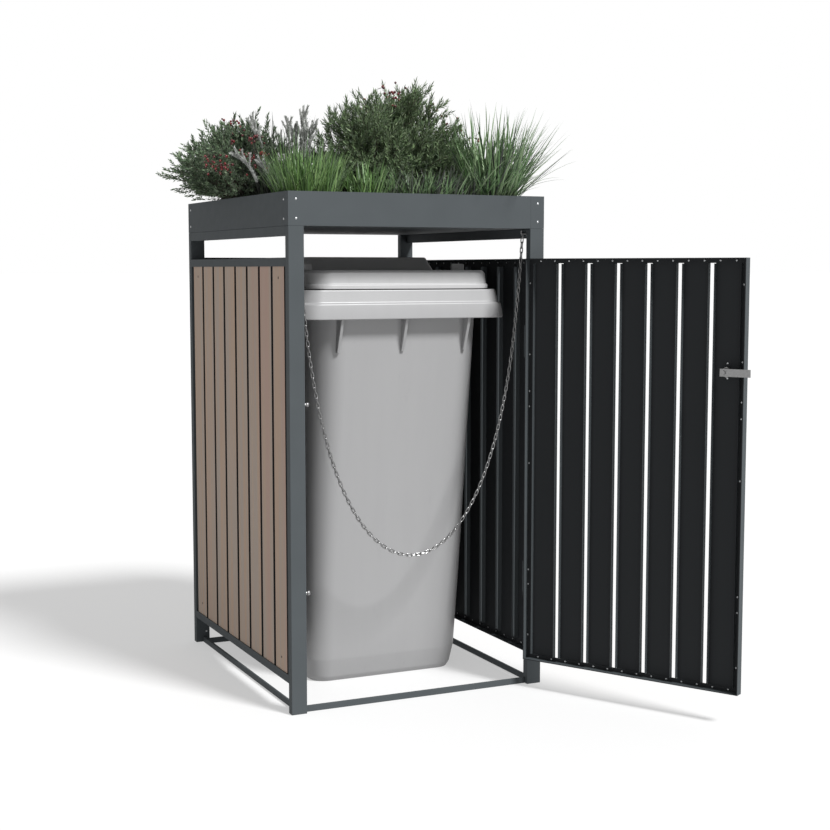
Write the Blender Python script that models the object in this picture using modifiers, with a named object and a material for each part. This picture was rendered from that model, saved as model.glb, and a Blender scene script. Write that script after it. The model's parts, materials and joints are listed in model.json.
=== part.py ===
"""Single wheelie-bin store: steel frame, slatted sides and door, planted tray roof.

Metres, +Z up. Origin on the floor under the middle of the front base rail.
+X is to the right seen from the front, +Y runs to the back, the door is at -Y.
"""

import math

import bmesh
import bpy
import numpy as np
from mathutils import Matrix, Vector

# ---------------------------------------------------------------- driving sizes
STORE_W = 0.685  # across the posts
STORE_D = 0.805  # front face to back face of the posts
STORE_H = 1.250  # floor to tray rim
GAP = 0.0003  # between pieces that touch or rest on each other
PLAY = 0.0001  # round a turning shaft or pin
EDGE = 0.0006  # softened edge on steel pieces

POST_X = 0.039
POST_Y = 0.021
POST_WALL = 0.002

TRAY_H = 0.0804
SHEET = 0.0015
LIP = 0.010  # folded rim along the tray top
CORNER_FLANGE = 0.038  # right side sheet turned across the front
DRAIN_R = 0.006
DRAIN_XS = (-0.20, 0.0, 0.20)
DRAIN_Y = 0.25

TOP_RAIL_H = 0.023
TOP_RAIL_X = 0.020
BASE_H = 0.015
BASE_T = 0.006
BASE_SIDE_IN = 0.0194  # outer face of a side base rail, in from the post's outer face
BASE_FRONT_IN = 0.0128
BASE_REAR_IN = 0.043

PANEL_Z0 = 0.0735
PANEL_TOP_DROP = 0.1555  # panel top below the tray rim
PANEL_T = 0.020
LEG = 0.020  # outer flange along a panel's top and bottom
RING = 0.002  # wall of a panel's perimeter
REAR_RISE = 0.006

SIDE_SLATS = 8
REAR_SLATS = 7
DOOR_SLATS = 7
SLAT_GAP = 0.014
SLAT_MARGIN = 0.016
SLAT_SHEET = 0.0012
SLAT_DEPTH = 0.012

AXIS_OUT = 0.0035  # hinge axis in front of the posts
AXIS_IN = 0.0026  # hinge axis in from the right post
DOOR_T = 0.022
DOOR_CLEAR = 0.0179  # between the closed door's free edge and the left post
DOOR_REST = math.radians(119.8)
RAIL_FLANGE = 0.012
STILE_FLANGE = SLAT_MARGIN - GAP  # reaches the outermost slats
FLANGE_Y = (0.0015, 0.0035)

HINGE_ZS = (0.279, 0.887)
HINGE_H = 0.080
KNUCKLE_R = 0.0032
PIN_R = 0.0015
LEAF_T = 0.0015
LEAF_REACH = 0.029

LOCK_Z = 0.830
BARREL_R = 0.0095
SPINDLE_R = 0.0032
CAM_REACH = 0.0165  # past the door's free edge, short of the post
CAM_W = 0.018
CAM_T = 0.002

NUT_ZS = (0.2932, 0.7476)
NUT_L = 0.0145
NUT_R = 0.006

CHAIN_D = 0.009
CHAIN_HALF = 0.304
CHAIN_DROP = 0.797  # from the hooks to the lowest point
CHAIN_FULL = 0.352  # how steeply its sides rise
CHAIN_IN = 0.042  # behind the front face
HOOK_DROP = 0.0166  # the chain's ends below the tray
CHAIN_POINTS = 73

SOIL_DROP = 0.012

BIN_X = 0.0095  # the bin stands a little right of the middle
WHEEL_R = 0.100
WHEEL_W = 0.042
WHEEL_Y = 0.268
AXLE_R = 0.010
WHEEL_ROOM = 0.012  # between a wheel and the bin's wall in front of it

# ---------------------------------------------------------------- derived sizes
HW = STORE_W / 2
TRAY_Z = STORE_H - TRAY_H
POST_H = TRAY_Z - GAP
PANEL_Z1 = STORE_H - PANEL_TOP_DROP
FRONT = -BASE_FRONT_IN - BASE_T / 2
BACK = FRONT + STORE_D
MID = (FRONT + BACK) / 2
SIDE_Y0, SIDE_Y1 = FRONT + POST_Y + GAP, BACK - POST_Y - GAP
AXIS = Vector((HW - POST_X - AXIS_IN, FRONT - AXIS_OUT, 0))
DOOR_L = STORE_W - 2 * POST_X - AXIS_IN - DOOR_CLEAR  # axis to free edge
CHAIN_TOP = TRAY_Z - HOOK_DROP


def clear():
    """Empty the scene."""
    for ob in list(bpy.data.objects):
        bpy.data.objects.remove(ob, do_unlink=True)
    for group in list(bpy.data.collections):
        bpy.data.collections.remove(group)


clear()
PARTS = bpy.data.collections.new("planted_bin_store")
CUTTERS = bpy.data.collections.new("cutters")
for group in (PARTS, CUTTERS):
    bpy.context.scene.collection.children.link(group)


def material(name, rgb, rough, metal=0.0):
    """A plain Principled material."""
    m = bpy.data.materials.new(name)
    m.use_nodes = True
    p = m.node_tree.nodes["Principled BSDF"]
    p.inputs["Base Color"].default_value = (*rgb, 1)
    p.inputs["Roughness"].default_value = rough
    p.inputs["Metallic"].default_value = metal
    m.diffuse_color = (*rgb, 1)
    return m


FRAME = material("anthracite powder coat", (0.105, 0.118, 0.125), 0.55, 0.1)
DARK = material("anthracite inside", (0.040, 0.043, 0.046), 0.6, 0.1)
WOOD = material("wood look coat", (0.235, 0.195, 0.165), 0.6)
ZINC = material("zinc plated steel", (0.45, 0.45, 0.45), 0.35, 0.9)
BIN = material("grey bin plastic", (0.42, 0.42, 0.42), 0.42)
LID_MAT = material("grey lid plastic", (0.36, 0.36, 0.36), 0.42)
TYRE = material("wheel rubber", (0.02, 0.02, 0.02), 0.8)
SOIL = material("potting soil", (0.035, 0.022, 0.014), 0.95)
GREEN = material("shrub green", (0.045, 0.085, 0.025), 0.8)
SILVER = material("silver green", (0.16, 0.18, 0.11), 0.8)
GRASS = material("grass green", (0.10, 0.22, 0.04), 0.7)


# ---------------------------------------------------------------- modelling helpers
def add(name, mesh, mat, bevel=0.0, group=PARTS, smooth=False):
    """Link a mesh as a named object."""
    ob = bpy.data.objects.new(name, mesh)
    group.objects.link(ob)
    if mat:
        mesh.materials.append(mat)
    if smooth:
        mesh.shade_smooth()
    if bevel:
        soften(ob, bevel)
    return ob


def soften(ob, width):
    """Bevel the sharp edges."""
    mod = ob.modifiers.new("soft edge", "BEVEL")
    mod.width, mod.segments, mod.limit_method = width, 1, "ANGLE"
    mod.angle_limit = math.radians(40)


def boxes(name, *spans):
    """One mesh of separate boxes, each given as x0, x1, y0, y1, z0, z1."""
    bm = bmesh.new()
    for x0, x1, y0, y1, z0, z1 in spans:
        size = Matrix.Diagonal((x1 - x0, y1 - y0, z1 - z0, 1))
        mid = Matrix.Translation(((x0 + x1) / 2, (y0 + y1) / 2, (z0 + z1) / 2))
        bmesh.ops.create_cube(bm, size=1, matrix=mid @ size)
    mesh = bpy.data.meshes.new(name)
    bm.to_mesh(mesh)
    bm.free()
    return mesh


def rods(name, *spans, sides=32):
    """One mesh of separate cylinders, each given as two end points and a radius."""
    bm = bmesh.new()
    for a, b, r in spans:
        a, b = Vector(a), Vector(b)
        turn = Vector((0, 0, 1)).rotation_difference(b - a).to_matrix().to_4x4()
        at = Matrix.Translation((a + b) / 2) @ turn
        bmesh.ops.create_cone(
            bm, cap_ends=True, segments=sides, radius1=r, radius2=r, depth=(b - a).length, matrix=at
        )
    mesh = bpy.data.meshes.new(name)
    bm.to_mesh(mesh)
    bm.free()
    return mesh


def combine(ob, mesh, how):
    """Join or cut an object with a hidden mesh."""
    tool = add(ob.name + "_" + how.lower() + str(len(ob.modifiers)), mesh, None, group=CUTTERS)
    tool.hide_render = True
    tool.display_type = "WIRE"
    tool.parent = ob.parent
    tool.matrix_parent_inverse = ob.matrix_parent_inverse
    mod = ob.modifiers.new(how.lower(), "BOOLEAN")
    mod.operation, mod.solver, mod.object = how, "EXACT", tool
    return ob


def cut(ob, mesh):
    """Take a mesh away."""
    return combine(ob, mesh, "DIFFERENCE")


def join(ob, mesh):
    """Add a mesh."""
    return combine(ob, mesh, "UNION")


def keep(ob, mesh):
    """Keep only what lies inside a mesh."""
    return combine(ob, mesh, "INTERSECT")


def loft(name, rings, mat, smooth=True, ring_loop=False):
    """Skin closed rings of equal length, capped at both ends unless they loop."""
    n = len(rings[0])
    verts = [p for ring in rings for p in ring]
    faces = []
    last = len(rings) if ring_loop else len(rings) - 1
    for i in range(last):
        a, b = i * n, (i + 1) % len(rings) * n
        faces += [(a + k, a + (k + 1) % n, b + (k + 1) % n, b + k) for k in range(n)]
    if not ring_loop:
        faces += [tuple(reversed(range(n))), tuple(range(len(verts) - n, len(verts)))]
    mesh = bpy.data.meshes.new(name)
    mesh.from_pydata(verts, [], faces)
    bm = bmesh.new()
    bm.from_mesh(mesh)
    bmesh.ops.recalc_face_normals(bm, faces=bm.faces)
    bm.to_mesh(mesh)
    bm.free()
    return add(name, mesh, mat, smooth=smooth)


def rounded(x0, x1, y0, y1, r, z, steps=8):
    """A rounded rectangle at height z, counter-clockwise."""
    out = []
    for cx, cy, start in (
        (x1 - r, y0 + r, -90),
        (x1 - r, y1 - r, 0),
        (x0 + r, y1 - r, 90),
        (x0 + r, y0 + r, 180),
    ):
        for k in range(steps + 1):
            a = math.radians(start + 90 * k / steps)
            out.append((cx + r * math.cos(a), cy + r * math.sin(a), z))
    return out


def spread(a, b, count):
    """Slat spans that fill a to b with the set gap and margins."""
    width = (b - a - 2 * SLAT_MARGIN - (count - 1) * SLAT_GAP) / count
    lows = [a + SLAT_MARGIN + i * (width + SLAT_GAP) for i in range(count)]
    return [(low, low + width) for low in lows]


# ---------------------------------------------------------------- posts and rails
for side, x0 in (("left", -HW), ("right", HW - POST_X)):
    for end, y0 in (("front", FRONT), ("rear", BACK - POST_Y)):
        x1, y1 = x0 + POST_X, y0 + POST_Y
        post = add(f"post_{end}_{side}", boxes("post", (x0, x1, y0, y1, 0, POST_H)), FRAME)
        w = POST_WALL
        cut(post, boxes("bore", (x0 + w, x1 - w, y0 + w, y1 - w, -0.01, POST_H - w)))
        soften(post, EDGE)

RAIL_X0 = -HW + BASE_SIDE_IN
for side, s in (("left", 1), ("right", -1)):
    xs = sorted((s * RAIL_X0, s * (RAIL_X0 + BASE_T)))
    add(f"base_rail_{side}", boxes("rail", (*xs, SIDE_Y0, SIDE_Y1, 0, BASE_H)), FRAME, EDGE)
    xs = sorted((-s * HW, -s * (HW - TOP_RAIL_X)))
    z1 = TRAY_Z - GAP
    span = (*xs, SIDE_Y0, SIDE_Y1, z1 - TOP_RAIL_H, z1)
    add(f"top_rail_{side}", boxes("rail", span), FRAME, EDGE)

front_y = FRONT + BASE_FRONT_IN
span = (-HW + POST_X + GAP, HW - POST_X - GAP, front_y, front_y + BASE_T, 0, BASE_H)
add("base_rail_front", boxes("rail", span), FRAME, EDGE)
inner = RAIL_X0 + BASE_T + GAP
rear_y = BACK - BASE_REAR_IN
add("base_rail_rear", boxes("rail", (inner, -inner, rear_y - BASE_T, rear_y, 0, BASE_H)), FRAME, EDGE)

# ---------------------------------------------------------------- tray
S, T0, T1 = SHEET, TRAY_Z, STORE_H
corner_x = HW - CORNER_FLANGE
front = add("tray_front", boxes("front", (-HW, corner_x - GAP, FRONT, FRONT + S, T0, T1)), FRAME)
join(front, boxes("lip", (-HW + S + GAP, corner_x - GAP, FRONT, FRONT + LIP, T1 - S, T1)))
right = add("tray_right", boxes("side", (HW - S, HW, FRONT, BACK, T0, T1)), FRAME)
join(right, boxes("turn", (corner_x, HW, FRONT, FRONT + S, T0, T1)))
lip_y = BACK - LIP - GAP
join(right, boxes("lip", (HW - LIP, HW, FRONT, lip_y, T1 - S, T1)))
join(right, boxes("turn_lip", (corner_x, HW, FRONT, FRONT + LIP, T1 - S, T1)))
left = add("tray_left", boxes("side", (-HW, -HW + S, FRONT + S + GAP, BACK, T0, T1)), FRAME)
join(left, boxes("lip", (-HW, -HW + LIP, FRONT + LIP + GAP, lip_y, T1 - S, T1)))
xi = HW - S - GAP
rear = add("tray_rear", boxes("rear", (-xi, xi, BACK - S, BACK, T0, T1)), FRAME)
join(rear, boxes("lip", (-xi, xi, BACK - LIP, BACK, T1 - S, T1)))
y0, y1 = FRONT + S + GAP, BACK - S - GAP
floor = add("tray_floor", boxes("floor", (-xi, xi, y0, y1, T0, T0 + S)), DARK)
drain_ys = (MID - DRAIN_Y, MID + DRAIN_Y)
holes = [((x, y, T0 - 0.01), (x, y, T0 + 0.02), DRAIN_R) for x in DRAIN_XS for y in drain_ys]
cut(floor, rods("drains", *holes, sides=16))
soil_z = T1 - S - SOIL_DROP
span = (-xi + GAP, xi - GAP, y0 + GAP, y1 - GAP, T0 + S + GAP, soil_z)
add("soil", boxes("soil", span), SOIL)


# ---------------------------------------------------------------- side and rear panels
def panel(name, a, b, z1, place, mat):
    """A flanged rectangular frame from a to b; place turns along, depth and z spans to x, y, z."""
    z0, r, g = PANEL_Z0, RING, LEG
    ob = add(name, boxes(name, place(a, b, 0, PANEL_T, z0, z1)), mat)
    cut(ob, boxes("hole", place(a + r, b - r, -0.01, PANEL_T + 0.01, z0 + g, z1 - g)))
    cut(ob, boxes("recess", place(a + r, b - r, r, PANEL_T + 0.01, z0 + r, z1 - r)))
    return ob


def side_place(s):
    """Spans for the left (s = -1) or right (s = 1) panel; depth runs inward."""

    def place(a, b, d0, d1, z0, z1):
        xs = sorted((s * (HW - d0), s * (HW - d1)))
        return (*xs, a, b, z0, z1)

    return place


def rear_place(a, b, d0, d1, z0, z1):
    """Spans for the rear panel; depth runs forward."""
    return (a, b, BACK - d1, BACK - d0, z0, z1)


left_place = side_place(-1)
panel("panel_frame_left", SIDE_Y0, SIDE_Y1, PANEL_Z1, left_place, FRAME)
lo, hi = PANEL_Z0 + RING + GAP, PANEL_Z1 - RING - GAP
d = RING + GAP
for i, (a, b) in enumerate(spread(SIDE_Y0, SIDE_Y1, SIDE_SLATS)):
    t = SLAT_SHEET
    name = f"slat_left_{SIDE_SLATS - i}"
    slat = add(name, boxes("slat", left_place(a, b, d, d + SLAT_DEPTH, lo, hi)), WOOD)
    inside = left_place(a + t, b - t, d + t, d + SLAT_DEPTH + 0.01, lo - 0.01, hi + 0.01)
    cut(slat, boxes("channel", inside))


def slatted(name, a, b, z1, place, count):
    """A panel whose slats are one piece with its frame."""
    ob = panel(name, a, b, z1, place, DARK)
    t, web = SLAT_SHEET, RING - 0.0005
    lo, hi = PANEL_Z0 + RING / 2, z1 - RING / 2
    spans = spread(a, b, count)
    join(ob, boxes("webs", *[place(p, q, web, web + t, lo, hi) for p, q in spans]))
    lo, hi = PANEL_Z0 + LEG, z1 - LEG
    sides = [e for p, q in spans for e in ((p, p + t), (q - t, q))]
    deep = web + SLAT_DEPTH
    join(ob, boxes("flanges", *[place(p, q, web + t / 2, deep, lo, hi) for p, q in sides]))
    return ob


slatted("panel_right", SIDE_Y0, SIDE_Y1, PANEL_Z1, side_place(1), SIDE_SLATS)
rear_a = HW - POST_X - GAP
slatted("panel_rear", -rear_a, rear_a, PANEL_Z1 + REAR_RISE, rear_place, REAR_SLATS)


# ---------------------------------------------------------------- door, drawn shut then swung
def pivot(name, at, turn, parent=None):
    """An empty on a joint axis."""
    ob = bpy.data.objects.new(name, None)
    ob.empty_display_size = 0.05
    PARTS.objects.link(ob)
    ob.location = at
    ob.rotation_euler = turn
    ob.parent = parent
    return ob


SWING = pivot("door_pivot", AXIS, (0, 0, DOOR_REST))


def on_door(ob):
    """Hang an object and its tools from the door pivot."""
    for item in [ob] + [m.object for m in ob.modifiers if m.type == "BOOLEAN"]:
        item.parent = SWING
    return ob


X0, X1 = -DOOR_L, -AXIS_IN
Y0 = AXIS_OUT
Z0, Z1 = PANEL_Z0, PANEL_Z1
F0, F1 = (Y0 + f for f in FLANGE_Y)
r, sf, rf = RING, STILE_FLANGE, RAIL_FLANGE
door = add("door_frame", boxes("door", (X0, X1, Y0, Y0 + DOOR_T, Z0, Z1)), FRAME)
cut(door, boxes("hole", (X0 + sf, X1 - sf, Y0 - 0.01, Y0 + 0.04, Z0 + rf, Z1 - rf)))
cut(door, boxes("front", (X0 + r, X1 - r, Y0 - 0.01, F0, Z0 + r, Z1 - r)))
cut(door, boxes("back", (X0 + r, X1 - r, F1, Y0 + 0.04, Z0 + r, Z1 - r)))
on_door(door)

lo, hi = Z0 + r + GAP, Z1 - r - GAP
notch = rf - r + 0.001
last_a, last_b = spread(X0, X1, DOOR_SLATS)[0]
lock_x = (last_a + last_b) / 2
for i, (a, b) in enumerate(spread(X0, X1, DOOR_SLATS)):
    t = SLAT_SHEET
    slat = add(f"slat_door_{i + 1}", boxes("slat", (a, b, Y0, Y0 + SLAT_DEPTH, lo, hi)), WOOD)
    cut(slat, boxes("channel", (a + t, b - t, Y0 + t, Y0 + 0.03, lo - 0.01, hi + 0.01)))
    ends = ((lo - 0.01, lo + notch), (hi - notch, hi + 0.01))
    cut(slat, boxes("ends", *[(a - 0.01, b + 0.01, Y0 + t, Y0 + 0.03, *e) for e in ends]))
    if a < lock_x < b:
        ends = ((lock_x, Y0 - 0.02, LOCK_Z), (lock_x, Y0 + 0.02, LOCK_Z), BARREL_R + GAP)
        cut(slat, rods("lock_hole", ends))
    on_door(slat)

# ---------------------------------------------------------------- hinges
for z, level in zip(HINGE_ZS, ("lower", "upper")):
    z0, z1 = z - HINGE_H / 2, z + HINGE_H / 2
    third = HINGE_H / 3
    za, zb = z0 + third, z1 - third
    ax, ay = AXIS.x, AXIS.y
    clear_r, g = KNUCKLE_R + GAP, GAP
    x1 = AXIS_IN - GAP
    plate = (ax + x1 - LEAF_T, ax + x1, ay, ay + LEAF_REACH, z0, z1)
    leaf = add(f"hinge_{level}_post_leaf", boxes("leaf", plate), FRAME)
    cut(leaf, rods("room", ((ax, ay, za - g), (ax, ay, zb + g), clear_r), sides=24))
    low, high = ((ax, ay, z0), (ax, ay, za - g)), ((ax, ay, zb + g), (ax, ay, z1))
    knuckles = (*low, KNUCKLE_R), (*high, KNUCKLE_R)
    join(leaf, rods("knuckles", *knuckles, sides=24))
    join(leaf, rods("pin", ((ax, ay, z0 + g), (ax, ay, z1 - g), PIN_R), sides=16))
    x1 = -AXIS_IN + GAP
    plate = (x1, x1 + LEAF_T, 0, Y0 + DOOR_T - GAP, z0, z1)
    leaf = add(f"hinge_{level}_door_leaf", boxes("leaf", plate), FRAME)
    room = ((0, 0, z0 - 0.01), (0, 0, za), clear_r), ((0, 0, zb), (0, 0, z1 + 0.01), clear_r)
    cut(leaf, rods("room", *room, sides=24))
    join(leaf, rods("knuckle", ((0, 0, za), (0, 0, zb), KNUCKLE_R), sides=24))
    cut(leaf, rods("bore", ((0, 0, z0), (0, 0, z1), PIN_R + PLAY), sides=16))
    on_door(leaf)

# ---------------------------------------------------------------- lock
LX, LZ = lock_x, LOCK_Z


def across(y0, y1, r):
    """A rod through the door at the lock."""
    return (LX, y0, LZ), (LX, y1, LZ), r


web_y = Y0 + SLAT_SHEET
body = add("lock_body", rods("plate", across(Y0 - GAP - 0.003, Y0 - GAP, 0.014)), ZINC)
join(body, rods("barrel", across(Y0 - 0.0025, Y0 + 0.016, BARREL_R)))
join(body, rods("nut", across(web_y + GAP, web_y + 0.006, 0.013), sides=6))
cut(body, rods("bore", across(Y0 - 0.02, Y0 + 0.03, SPINDLE_R + PLAY), sides=24))
on_door(body)
cam_y = Y0 + DOOR_T + 2 * GAP
spindle = across(Y0 - 0.014, cam_y + CAM_T + 0.003, SPINDLE_R)
cam = add("lock_cam", rods("spindle", spindle, sides=24), ZINC)
half = CAM_W / 2
arm = (X0 - CAM_REACH, LX + half, cam_y, cam_y + CAM_T, LZ - half, LZ + half)
join(cam, boxes("arm", arm))
join(cam, rods("nut", across(cam_y + CAM_T / 2, cam_y + CAM_T + 0.004, 0.0055), sides=6))
on_door(cam)
handle_y = Y0 - GAP - 0.003 - GAP
knob = (LX - 0.030, LX + 0.030, handle_y - 0.016, handle_y - 0.006, LZ - 0.006, LZ + 0.006)
handle = add("lock_handle", boxes("bar", knob), ZINC)
join(handle, rods("hub", across(handle_y - 0.0155, handle_y, 0.0095)))
cut(handle, rods("socket", across(Y0 - 0.014 - GAP, Y0 + 0.01, SPINDLE_R + GAP), sides=24))
on_door(handle)

# ---------------------------------------------------------------- dome nuts on the left post
for z, name in zip(NUT_ZS, ("lower", "upper")):
    x, y = -HW + POST_X + GAP, FRONT + POST_Y / 2
    top = x + NUT_L
    shank = ((x, y, z), (top - NUT_R, y, z), 0.004)
    nut = add(f"dome_nut_{name}", rods("shank", shank, sides=16), ZINC, smooth=False)
    ball = bmesh.new()
    bmesh.ops.create_uvsphere(ball, u_segments=20, v_segments=12, radius=NUT_R)
    bmesh.ops.translate(ball, vec=(top - NUT_R, y, z), verts=ball.verts)
    dome = bpy.data.meshes.new("dome")
    ball.to_mesh(dome)
    ball.free()
    join(nut, dome)

# ---------------------------------------------------------------- safety chain and its hooks
chain_y = FRONT + CHAIN_IN
for side, s in (("left", -1), ("right", 1)):
    inner = s * (HW - TOP_RAIL_X - GAP)
    xs = sorted((inner, inner - s * 0.002))
    z = CHAIN_TOP + 0.005
    pad = (*xs, chain_y - 0.009, chain_y + 0.009, z - 0.007, z + 0.007)
    hook = add(f"chain_hook_{side}", boxes("pad", pad), ZINC)
    reach = s * (CHAIN_HALF - 0.003)
    join(hook, rods("arm", ((inner - s * 0.001, chain_y, z), (reach, chain_y, z), 0.002), sides=12))
    tip = ((reach, chain_y, z - 0.0015), (reach, chain_y, z + 0.007), 0.002)
    join(hook, rods("tip", tip, sides=12))


def chain_curve(count, steps=4000):
    """Points at even lengths along z = low - full * ln(cos(turn * x)), from hook to hook."""
    turn = math.acos(math.exp(-CHAIN_DROP / CHAIN_FULL)) / CHAIN_HALF
    x = np.linspace(-CHAIN_HALF, CHAIN_HALF, steps + 1)
    z = CHAIN_TOP - CHAIN_DROP - CHAIN_FULL * np.log(np.cos(turn * x))
    run = np.concatenate([[0.0], np.cumsum(np.hypot(np.diff(x), np.diff(z)))])
    even = np.linspace(0.0, run[-1], count)
    return np.stack([np.interp(even, run, x), np.full(count, chain_y), np.interp(even, run, z)], 1)


curve = bpy.data.curves.new("chain", "CURVE")
curve.dimensions = "3D"
spline = curve.splines.new("POLY")
spline.points.add(CHAIN_POINTS - 1)
for point, spot in zip(spline.points, chain_curve(CHAIN_POINTS)):
    point.co = (*spot, 1)
curve.bevel_depth = CHAIN_D / 2
curve.bevel_resolution = 2
curve.use_fill_caps = True
chain = bpy.data.objects.new("chain", curve)
curve.materials.append(ZINC)
PARTS.objects.link(chain)

# ---------------------------------------------------------------- wheelie bin
TIP = pivot("bin_pivot", (0, 0, 0), (0, 0, 0))
BX, BY = BIN_X, MID
RIM_Z = 0.9445
# half width, front, back, corner radius and height of the tub's outside
WELL_Y = WHEEL_Y - WHEEL_R - WHEEL_ROOM
WELL_Z = 2 * WHEEL_R - 0.005
TUB = (
    (0.205, -0.165, WELL_Y - 0.011, 0.050, 0.012),
    (0.215, -0.177, WELL_Y - 0.004, 0.060, 0.060),
    (0.217, -0.193, WELL_Y, 0.060, WELL_Z),
    (0.218, -0.198, 0.250, 0.060, WELL_Z + 0.043),
    (0.224, -0.228, 0.280, 0.070, 0.500),
    (0.231, -0.278, 0.318, 0.080, RIM_Z),
)
BAND = (
    (0.290, -0.3135, 0.345, 0.060, RIM_Z),
    (0.285, -0.3085, 0.340, 0.060, 0.983),
    (0.279, -0.3025, 0.334, 0.058, 0.985),
    (0.273, -0.2965, 0.328, 0.055, 1.017),
)
WALL = 0.004
FOOT_IN = 0.008


def level(hw, y0, y1, rad, z, inset=0.0):
    """One rounded level of the bin."""
    rad = max(rad - inset, 0.01)
    return rounded(BX - hw + inset, BX + hw - inset, BY + y0 + inset, BY + y1 - inset, rad, z)


def at_bin(x0, x1, y0, y1, z0, z1):
    """A box span given from the bin's own middle."""
    return BX + x0, BX + x1, BY + y0, BY + y1, z0, z1


def cross(x0, x1, y, z, rad):
    """A rod across the bin."""
    return (BX + x0, BY + y, z), (BX + x1, BY + y, z), rad


def solid(name, rings):
    """A capped loft as a bare mesh."""
    ob = loft(name, rings, None)
    mesh = ob.data
    bpy.data.objects.remove(ob, do_unlink=True)
    return mesh


rings = [level(*TUB[0][:4], 0.0, FOOT_IN)]
rings += [level(*row) for row in TUB + BAND]
rings += [level(*BAND[-1], WALL)]
rings += [level(*row[:4], row[4] + WALL, WALL) for row in reversed(TUB)]
tub = loft("bin_body", rings, BIN)

RIB_XS = (-0.1745, 0.0, 0.1745)
RIB_T = 0.008
RIB_LOW = 0.862
WALL_Y = TUB[-1][1]
BAND_Y = BAND[0][1]


def rib(x):
    """Upper and lower ends of a tapering gusset under the front rim."""
    a, b = BX + x - RIB_T / 2, BX + x + RIB_T / 2
    out, back = BY + BAND_Y + 0.006, BY + WALL_Y + 0.008
    low_out, low_back = BY + WALL_Y + 0.004, BY + WALL_Y + 0.018
    top = RIM_Z + 0.006
    return [
        [(a, low_out, RIB_LOW), (b, low_out, RIB_LOW), (b, low_back, RIB_LOW), (a, low_back, RIB_LOW)],
        [(a, out, top), (b, out, top), (b, back, top), (a, back, top)],
    ]


for x in RIB_XS:
    join(tub, solid("rib", rib(x)))
y, z = WHEEL_Y, WHEEL_R
HUB_X = 0.150
join(tub, boxes("axle_block", at_bin(-HUB_X, HUB_X, WELL_Y - 0.0045, y + 0.022, z - 0.022, z + 0.03)))
cut(tub, rods("axle_bore", cross(-0.3, 0.3, y, z, AXLE_R + GAP), sides=24))

GRIP_Y, GRIP_Z, GRIP_R = 0.364, 0.995, 0.0105
LUG_XS, LUG_W = (-0.235, -0.015, 0.205), 0.030
EYE_XS, EYE_W = (-0.190, 0.160), 0.024
EYE_ROOM = 0.004
lugs = [at_bin(x, x + LUG_W, 0.325, GRIP_Y + 0.012, 0.965, 1.0168) for x in LUG_XS]
join(tub, boxes("lugs", *lugs))
cut(tub, rods("grip_bore", cross(-0.3, 0.3, GRIP_Y, GRIP_Z, GRIP_R + GAP), sides=24))
room = [at_bin(x - EYE_ROOM, x + EYE_W + EYE_ROOM, 0.346, 0.400, 0.970, 1.030) for x in EYE_XS]
cut(tub, boxes("eye_room", *room))

GRIP_HALF = 0.262
add("bin_grip", rods("grip", cross(-GRIP_HALF, GRIP_HALF, GRIP_Y, GRIP_Z, GRIP_R), sides=48), BIN)
WHEEL_IN = HUB_X + 0.0045
AXLE_HALF = WHEEL_IN + WHEEL_W + 0.025
add("bin_axle", rods("axle", cross(-AXLE_HALF, AXLE_HALF, y, z, AXLE_R), sides=48), ZINC)
for side, s in (("left", -1), ("right", 1)):
    a, b = sorted((s * WHEEL_IN, s * (WHEEL_IN + WHEEL_W)))
    wheel = add(f"bin_wheel_{side}", rods("tyre", cross(a, b, y, z, WHEEL_R), sides=48), TYRE)
    cut(wheel, rods("hub_bore", cross(a - 0.01, b + 0.01, y, z, AXLE_R + PLAY), sides=48))
    soften(wheel, 0.005)

# lid: front lip, shallow deck and raised middle
LID_Z = 1.0185
LID = (
    (0.244, -0.2925, 0.320, 0.050, 0.0),
    (0.250, -0.2985, 0.326, 0.055, 0.0005),
    (0.250, -0.2985, 0.326, 0.055, 0.011),
    (0.246, -0.2945, 0.322, 0.052, 0.013),
    (0.243, -0.2915, 0.322, 0.050, 0.040),
    (0.236, -0.2845, 0.318, 0.048, 0.0475),
    (0.232, -0.2805, 0.314, 0.045, 0.0445),
    (0.239, -0.2875, 0.316, 0.045, 0.036),
)
lid = loft("bin_lid", [level(*row[:4], LID_Z + row[4]) for row in LID], LID_MAT, ring_loop=True)
DECK = (0.0437, 0.0467)
join(lid, solid("deck", [level(0.2352, -0.2837, 0.3172, 0.047, LID_Z + up) for up in DECK]))


def hump(hw, y0, y1, rad, up):
    """One level of the raised middle."""
    return level(hw, y0, y1, rad, LID_Z + up)


join(lid, solid("hump", [hump(0.184, -0.083, 0.300, 0.020, 0.045), hump(0.171, -0.060, 0.290, 0.018, 0.081)]))
cut(lid, solid("under", [hump(0.180, -0.079, 0.296, 0.018, 0.040), hump(0.168, -0.057, 0.287, 0.016, 0.078)]))
TAB_X, TAB_HALF = 0.2155, 0.018
tabs = [
    at_bin(x - TAB_HALF, x + TAB_HALF, -0.156, -0.146, LID_Z + 0.044, LID_Z + 0.064) for x in (-TAB_X, TAB_X)
]
join(lid, boxes("lid_tabs", *tabs))
arms = [at_bin(x, x + EYE_W, 0.315, GRIP_Y + 0.003, LID_Z + 0.003, LID_Z + 0.013) for x in EYE_XS]
join(lid, boxes("arms", *arms))
half = GRIP_R + 0.003
eyes = [at_bin(x, x + EYE_W, GRIP_Y - half, GRIP_Y + half, 0.985, LID_Z + 0.012) for x in EYE_XS]
join(lid, boxes("eyes", *eyes))
cut(lid, rods("eye_bore", cross(-0.3, 0.3, GRIP_Y, GRIP_Z, GRIP_R + PLAY), sides=48))


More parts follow.
